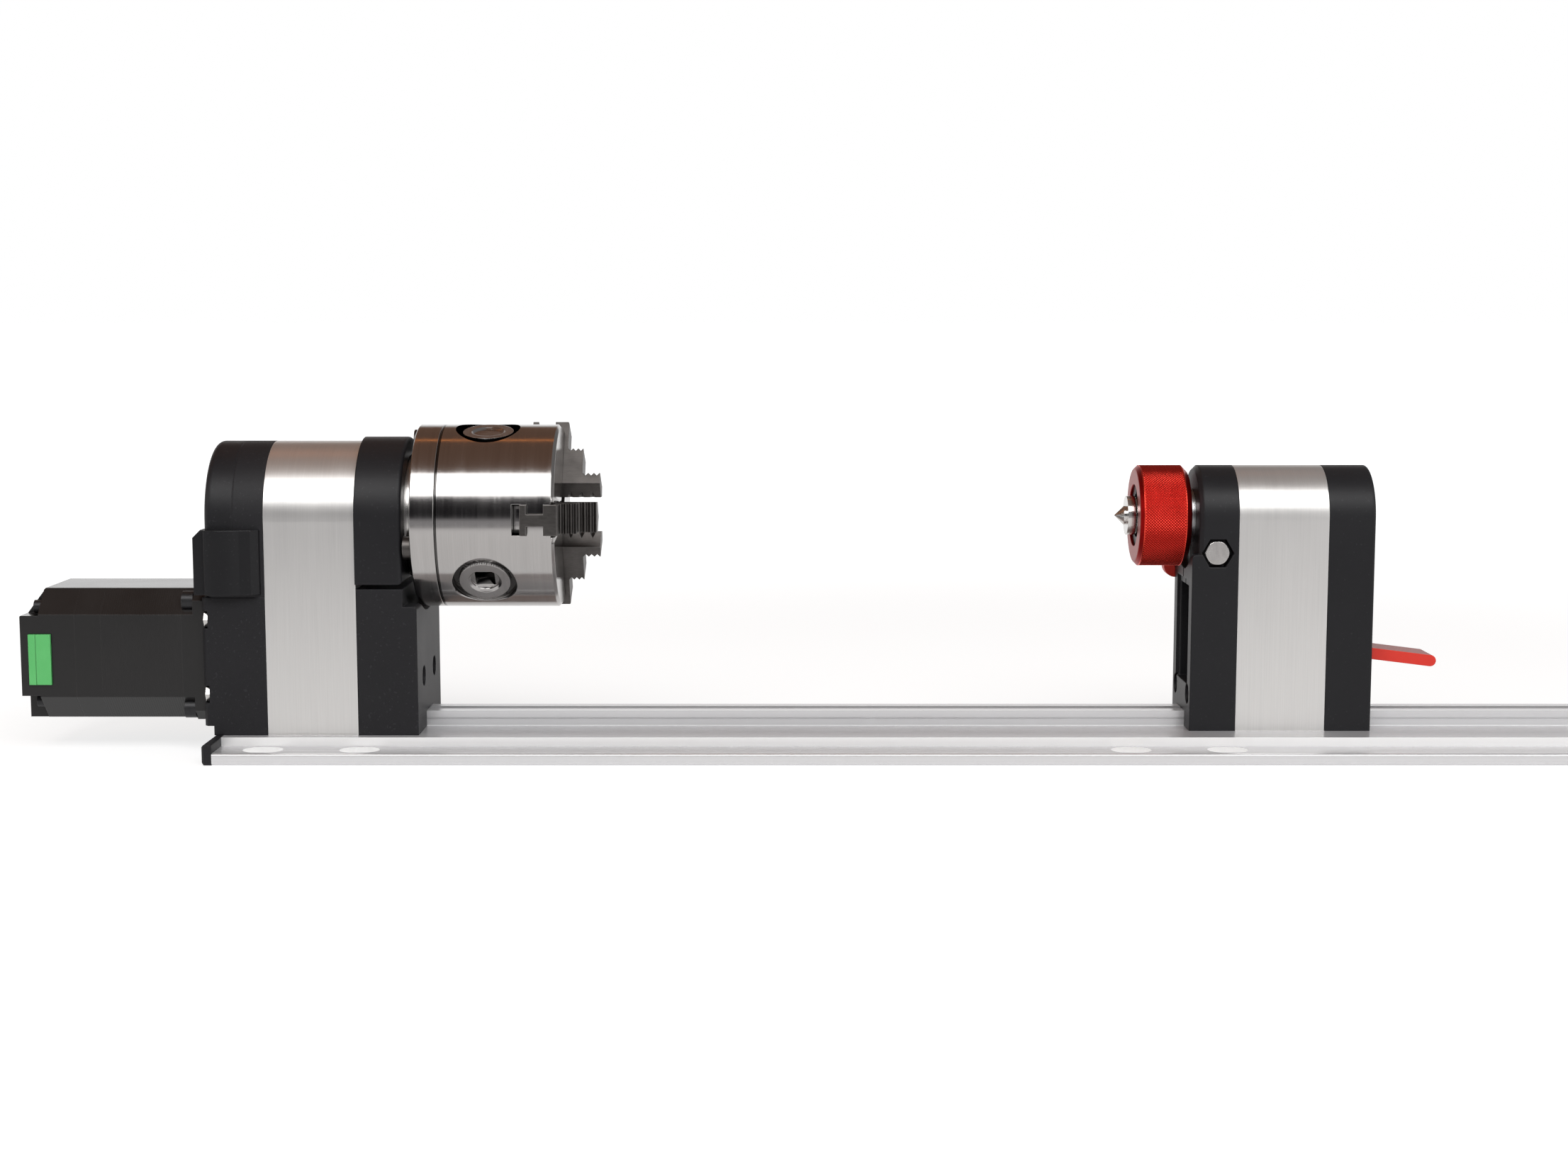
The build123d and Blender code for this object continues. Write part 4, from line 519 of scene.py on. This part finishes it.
def carved(name, mesh, cutters, added=()):
    """Mesh with others joined on and the cutters taken away, and with its edges sharp where they turn."""
    whole = bmesh.new()
    whole.from_mesh(mesh)
    bmesh.ops.remove_doubles(whole, verts=whole.verts, dist=1e-6)
    base = bpy.data.meshes.new(name)
    whole.to_mesh(base)
    whole.free()
    piece = bpy.data.objects.new(name, base)
    bpy.context.scene.collection.objects.link(piece)
    others = []
    for way, meshes in (("UNION", added), ("DIFFERENCE", cutters)):
        for other in meshes:
            tool = bpy.data.objects.new("tool", other)
            bpy.context.scene.collection.objects.link(tool)
            others.append(tool)
            step = piece.modifiers.new("cut", "BOOLEAN")
            step.operation, step.object, step.solver = way, tool, "EXACT"
    found = piece.evaluated_get(bpy.context.evaluated_depsgraph_get())
    result = bpy.data.meshes.new_from_object(found)
    for extra in [*others, piece]:
        bpy.data.objects.remove(extra)
    result.name = name
    result.polygons.foreach_set("use_smooth", [True] * len(result.polygons))
    result.set_sharp_from_angle(angle=math.radians(28.0))
    return result


def rounded_about_spindle(mesh, radius):
    """Gives the faces that lie on a cylinder about the spindle that cylinder's own normals."""
    points = np.empty(len(mesh.vertices) * 3)
    mesh.vertices.foreach_get("co", points)
    points = points.reshape(-1, 3) - np.array((0.0, 0.0, SPINDLE_HEIGHT))
    distance = np.hypot(points[:, 1], points[:, 2])
    normals = [tuple(normal.vector) for normal in mesh.corner_normals]
    for face in mesh.polygons:
        if all(abs(distance[number] - radius) < 0.05 * MM for number in face.vertices):
            for corner, number in zip(face.loop_indices, face.vertices):
                across, up = points[number, 1:] / distance[number]
                normals[corner] = (0.0, across, up)
    mesh.normals_split_custom_set(normals)
    return mesh


def shown(name, mesh, finish, body, node):
    """Adds a piece of the object that rides on a body and stands for a node of the frame."""
    mesh.materials.clear()
    mesh.materials.append(finish.material)
    piece = bpy.data.objects.new(name, mesh)
    bpy.context.scene.collection.objects.link(piece)
    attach(piece, body)
    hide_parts(node)


# Motor: one bevel along all its corners; the driver's rear corners are stepped back for their screws
MOTOR_HALF, MOTOR_BEVEL = 28.45, 10.5
ACROSS, UP, ALONG = (0, 1, 0), (0, 0, 1), (1, 0, 0)
low, high = MOTOR_HALF - MOTOR_BEVEL, MOTOR_HALF
octagon = [(high, low), (low, high), (-low, high), (-high, low)]
octagon += [(-u, -v) for u, v in octagon]


def motor_section(name, start, length, cutters=()):
    """Eight-sided section of the motor from a place along X, with the cutters taken away."""
    mesh = prism(name, octagon, (start * MM, 0, MOTOR_HEIGHT), ACROSS, UP, (length, 0, 0))
    return carved(name, mesh, cutters)


corners = [(side, level) for side in (-1, 1) for level in (-1, 1)]
steps = [
    prism("step", [(17.5 * a, 17.5 * b), (40 * a, 17.5 * b), (40 * a, 40 * b), (17.5 * a, 40 * b)],
          (-175 * MM, 0, MOTOR_HEIGHT), ACROSS, UP, (12.4, 0, 0))
    for a, b in corners
]
slope = prism("slope", [(-175, 11), (-170.6, 17.05), (-162, 28.45), (-158, 34), (-175, 34)],
              (0, -40 * MM, MOTOR_HEIGHT), ALONG, UP, (0, 80, 0))
seat = prism("seat", [(-167.0, -12.65), (-157.2, -12.65), (-157.2, 9.65), (-167.0, 9.65)],
             (0, -30 * MM, MOTOR_HEIGHT), ALONG, UP, (0, 9, 0))
rear_section = motor_section("motor_rear_section", -147.0, 11.3)
shown("motor_rear_section", rear_section, motor_black, "base", "motor_rear_cap")
driver_section = motor_section("driver_section", -170.6, 23.6, [*steps, slope, seat])
shown("driver_section", driver_section, motor_black, "base", "driver_housing")
SCREW_FRONT, SCREW_OFFSET = -162.6 * MM, 20.6 * MM
screw_places = [(SCREW_FRONT, SCREW_OFFSET * a, MOTOR_HEIGHT + SCREW_OFFSET * b) for a, b in corners]
heads = [disc(2.9, place, (-1, 0, 0), 3.4, 32) for place in screw_places]
screw_heads = carved("driver_screw_heads", heads[0], (), heads[1:])
shown("driver_screw_heads", screw_heads, screw_black, "base", "driver_screws")

# Terminal block: plain green, with a low step along its outer third
block = prism("terminal", [(-166.9, -12.5), (-157.3, -12.5), (-157.3, 9.5), (-166.9, 9.5)],
              (0, -29.65 * MM, MOTOR_HEIGHT), ALONG, UP, (0, 8.6, 0))
groove = prism("groove", [(-163.9, -20), (-163.6, -20), (-163.6, 20), (-163.9, 20)],
               (0, -30.5 * MM, MOTOR_HEIGHT), ALONG, UP, (0, 1.2, 0))
terminal_plug = carved("terminal_plug", block, [groove])
shown("terminal_plug", terminal_plug, terminal_plastic, "base", "terminal_block")


def outward(angle):
    """Direction away from the spindle, counted up from the near side in degrees."""
    turn = math.radians(angle)
    return Vector((0, -math.cos(turn), math.sin(turn)))


def on_chuck(angle, reach):
    """Place on a key pinion's axis at a reach in millimetres from the spindle."""
    return Vector((PINION_PLACE, 0, SPINDLE_HEIGHT)) + outward(angle) * reach * MM


# Chuck: round counterbores deep enough to show around the key heads, whose sockets start round
pockets = []
for angle in PINION_ANGLES:
    core = disc(11.05, on_chuck(angle, 36.8), outward(angle), 7.0)
    pockets.append(carved("ring", disc(14.0, on_chuck(angle, 37.0), outward(angle), 6.0), [core]))
chuck_shell = carved("chuck_shell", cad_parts["chuck_body"].data, pockets)
chuck_shell = rounded_about_spindle(chuck_shell, 40 * MM)
shown("chuck_shell", chuck_shell, steel_with_pocket_shade, "spindle", "chuck_body")
for number, angle in enumerate(PINION_ANGLES, start=1):
    name = f"key_head_{number}"
    mouth = disc(6.2, on_chuck(angle, 36.6), outward(angle), 4.0)
    cone = disc(6.2, on_chuck(angle, 37.5), outward(angle), 1.6, far_radius=7.8)
    mesh = carved(name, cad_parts[f"key_pinion_{number}"].data, [mouth, cone])
    shown(name, mesh, steel_with_socket_shade, f"key_pinion_{number}", f"key_pinion_{number}")


def notched(start, end, pitch, width, depth, lead):
    """Points of a straight side of a jaw with triangular notches, first one a lead from its start."""
    length = math.dist(start, end)
    way = np.subtract(end, start) / length
    inward = np.array((way[1], -way[0])) * depth
    points = [start]
    place = lead
    while place + width < length:
        for reach, sink in ((0, 0), (width / 2, 1), (width, 0)):
            points.append(tuple(np.array(start) + way * (place + reach) + inward * sink))
        place += pitch
    return [*points, end]


def jaw(number, angle):
    """Stepped jaw of body, web and foot, drawn as (place along the spindle, radius), its tip bevelled."""
    out = outward(angle)
    side = out.cross(Vector(ALONG))
    centre = Vector((0, 0, SPINDLE_HEIGHT))
    outline = [
        (57.5, 43.4), (63.2, 43.4), (63.6, 43.0),
        *notched((63.6, 30.0), (70.4, 30.0), 2.25, 2.1, 1.2, 0.1),
        *notched((70.4, 17.6), (78.2, 17.6), 2.5, 2.2, 1.2, 0.2),
        *notched((78.4, 8.9), (57.5, 8.9), 4.9, 2.6, 1.5, 2.4),
    ]
    parts = []
    for shape, width in ((outline, 13.0), ([(50, 8.9), (57.6, 8.9), (57.6, 43.4), (50, 43.4)], 5.0),
                         ([(47.5, 8.9), (50.1, 8.9), (50.1, 43.4), (47.5, 43.4)], 13.0)):
        origin = centre - side * width / 2 * MM
        parts.append(prism("jaw", shape, origin, ALONG, out, side * width))
    bevel, bevel_start = [(0, 5.0), (0, 8.9), (7.5, 13.23), (7.5, 5.0)], centre + Vector((45 * MM, 0, 0))
    cuts = [prism("bevel", bevel, bevel_start, side * way, out, (36, 0, 0)) for way in (-1, 1)]
    name = f"stepped_jaw_{number}"
    mesh = carved(name, parts[0], cuts, parts[1:])
    shown(name, mesh, jaw_steel, f"jaw_{number}", f"jaw_{number}")


for number, angle in enumerate(JAW_ANGLES, start=1):
    jaw(number, angle)

# Quill lock: a short red thumb lever on the far side, of which the camera sees the tip
hub, tail_length, tail_turn = Vector((347.5, 86.6)), 15.1, math.radians(43)
tip = hub - tail_length * Vector((math.cos(tail_turn), math.sin(tail_turn)))
rims = [
    centre + Vector((math.cos(turn), math.sin(turn))) * radius
    for centre, radius in ((hub, 9.0), (tip, 5.0))
    for turn in np.linspace(0, 2 * math.pi, 64, endpoint=False)
]
lever_outline = [tuple(rims[number]) for number in convex_hull_2d(rims)]
lever = prism("thumb_lever", lever_outline, (0, 22.5 * MM, 0), ALONG, UP, (0, 7.0, 0))
bolt_hole = disc(3.05, (hub.x * MM, 20 * MM, hub.y * MM), (0, 1, 0), 12.0, 48)
thumb_lever = carved("thumb_lever", lever, [bolt_hole])
shown("thumb_lever", thumb_lever, lever_paint, "quill_lock_lever", "quill_lock_lever")

knob = knurled_knob()
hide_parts("quill_knob")

# Floor: white for the camera far from the object; its reflection fades out towards its front edge
FLOOR_FRONT, FLOOR_BACK, FLOOR_SIDE, FLOOR_LEVEL = -0.65, 30.0, 20.0, -0.0002
floor_mesh = bpy.data.meshes.new("floor")
floor_corners = [
    (-FLOOR_SIDE, FLOOR_FRONT, FLOOR_LEVEL), (FLOOR_SIDE, FLOOR_FRONT, FLOOR_LEVEL),
    (FLOOR_SIDE, FLOOR_BACK, FLOOR_LEVEL), (-FLOOR_SIDE, FLOOR_BACK, FLOOR_LEVEL),
]
floor_mesh.from_pydata(floor_corners, [], [(0, 1, 2, 3)])
floor = bpy.data.objects.new("floor", floor_mesh)
bpy.context.scene.collection.objects.link(floor)
floor_tone = (0.88, 0.88, 0.88, 1.0)
floor_finish = Finish("white floor", Base_Color=floor_tone, Roughness=0.9, Specular_IOR_Level=0.1)
light_path = floor_finish.node("ShaderNodeLightPath")
rays = ("Is Camera Ray", "Is Glossy Ray")
to_camera, to_gloss = [Wire(floor_finish, light_path.outputs[ray]) for ray in rays]
seen = floor_finish.clamped(to_camera + to_gloss)
away = floor_finish.math("SQRT", (floor_finish.x - 0.3) ** 2.0 + floor_finish.y ** 2.0)
far = floor_finish.rise(away, 0.35, 1.2)
front_fade = floor_finish.rise(floor_finish.y, FLOOR_FRONT + 0.01, FLOOR_FRONT + 0.21)
power = to_camera * 1.2 + to_gloss * (0.06 + 0.94 * front_fade)
glow = floor_finish.wire("ShaderNodeEmission", values={"Color": (1.0, 1.0, 1.0, 1.0), "Strength": power})
lit = Wire(floor_finish, floor_finish.shader.outputs[0])
share = seen * (0.64 + far * 0.36)
total = floor_finish.wire("ShaderNodeMixShader", values={0: share, 1: lit, 2: glow})
floor_finish.tree.links.new(total.socket, floor_finish.tree.nodes["Material Output"].inputs["Surface"])
floor_mesh.materials.append(floor_finish.material)

# Room: its colour goes by the angle up from the front, as the bands on the chuck in the photograph show
world = bpy.data.worlds.new("studio")
bpy.context.scene.world = world
world.use_nodes = True
sky = Board(world.node_tree)
backdrop = world.node_tree.nodes["Background"]
direction = sky.node("ShaderNodeSeparateXYZ", values={0: sky.wire("ShaderNodeTexCoord", output=0)})
towards, up = Wire(sky, direction.outputs[1]), Wire(sky, direction.outputs[2])
turn = sky.math("ARCTAN2", up, towards * -1.0)
dark_front, low_table = (0.012, 0.011, 0.013), (0.42, 0.41, 0.42)
right_low, right_high = (0.7, 0.7, 0.7), (0.22, 0.215, 0.215)
warm_top, orange, pale = (0.17, 0.1, 0.07), (1.6, 0.55, 0.16), (1.0, 1.0, 1.0)


def angle_rise(low, high):
    """0 to 1 between two angles in degrees, counted up from the front."""
    return sky.rise(turn, math.radians(low), math.radians(high))


above = angle_rise(24.0, 60.0)
right = sky.rise(Wire(sky, direction.outputs[0]), 0.02, 0.3)
room = sky.blend(right, sky.blend(above, dark_front, warm_top), sky.blend(above, right_low, right_high))
room = sky.blend(angle_rise(-30.0, -20.0) * angle_rise(2.0, -2.0), room, low_table)
lamp = angle_rise(113.2, 114.0) * angle_rise(115.8, 115.0)
room = sky.blend(lamp * (1 - right), room, orange)
room = sky.blend(angle_rise(152.0, 164.0), room, pale)
camera_ray = Wire(sky, sky.node("ShaderNodeLightPath").outputs["Is Camera Ray"])
seen_room = sky.blend(camera_ray, room, pale)
world.node_tree.links.new(seen_room.socket, backdrop.inputs["Color"])
backdrop.inputs["Strength"].default_value = 1.0


def softbox(name, place, aim, width, height, power):
    """Adds a rectangular lamp at a place, turned to its aim."""
    lamp = bpy.data.lights.new(name, "AREA")
    lamp.shape = "RECTANGLE"
    lamp.size, lamp.size_y, lamp.energy = width, height, power
    box = bpy.data.objects.new(name, lamp)
    box.location = place
    box.rotation_euler = (Vector(aim) - Vector(place)).to_track_quat("-Z", "Y").to_euler()
    bpy.context.scene.collection.objects.link(box)


softbox("front softbox", (0.2, -1.35, 1.38), (0.2, 0.0, 0.08), 2.4, 0.95, 34.0)
softbox("left softbox", (-1.6, -0.7, 0.8), (0.1, 0.0, 0.08), 0.9, 0.9, 5.0)
softbox("right softbox", (2.0, -0.7, 0.8), (0.2, 0.0, 0.08), 0.9, 0.9, 5.0)

camera_data = bpy.data.cameras.new("camera")
camera_data.lens = 53.57
camera_data.sensor_width = 36.0
camera_data.clip_end = 100.0
camera = bpy.data.objects.new("camera", camera_data)
camera.location = (0.1595, -1.0269, 0.1917)
camera.rotation_euler = (math.pi / 2 - 0.119, 0.0, 0.0)
bpy.context.scene.collection.objects.link(camera)
bpy.context.scene.camera = camera
bpy.context.scene.view_settings.view_transform = "Standard"
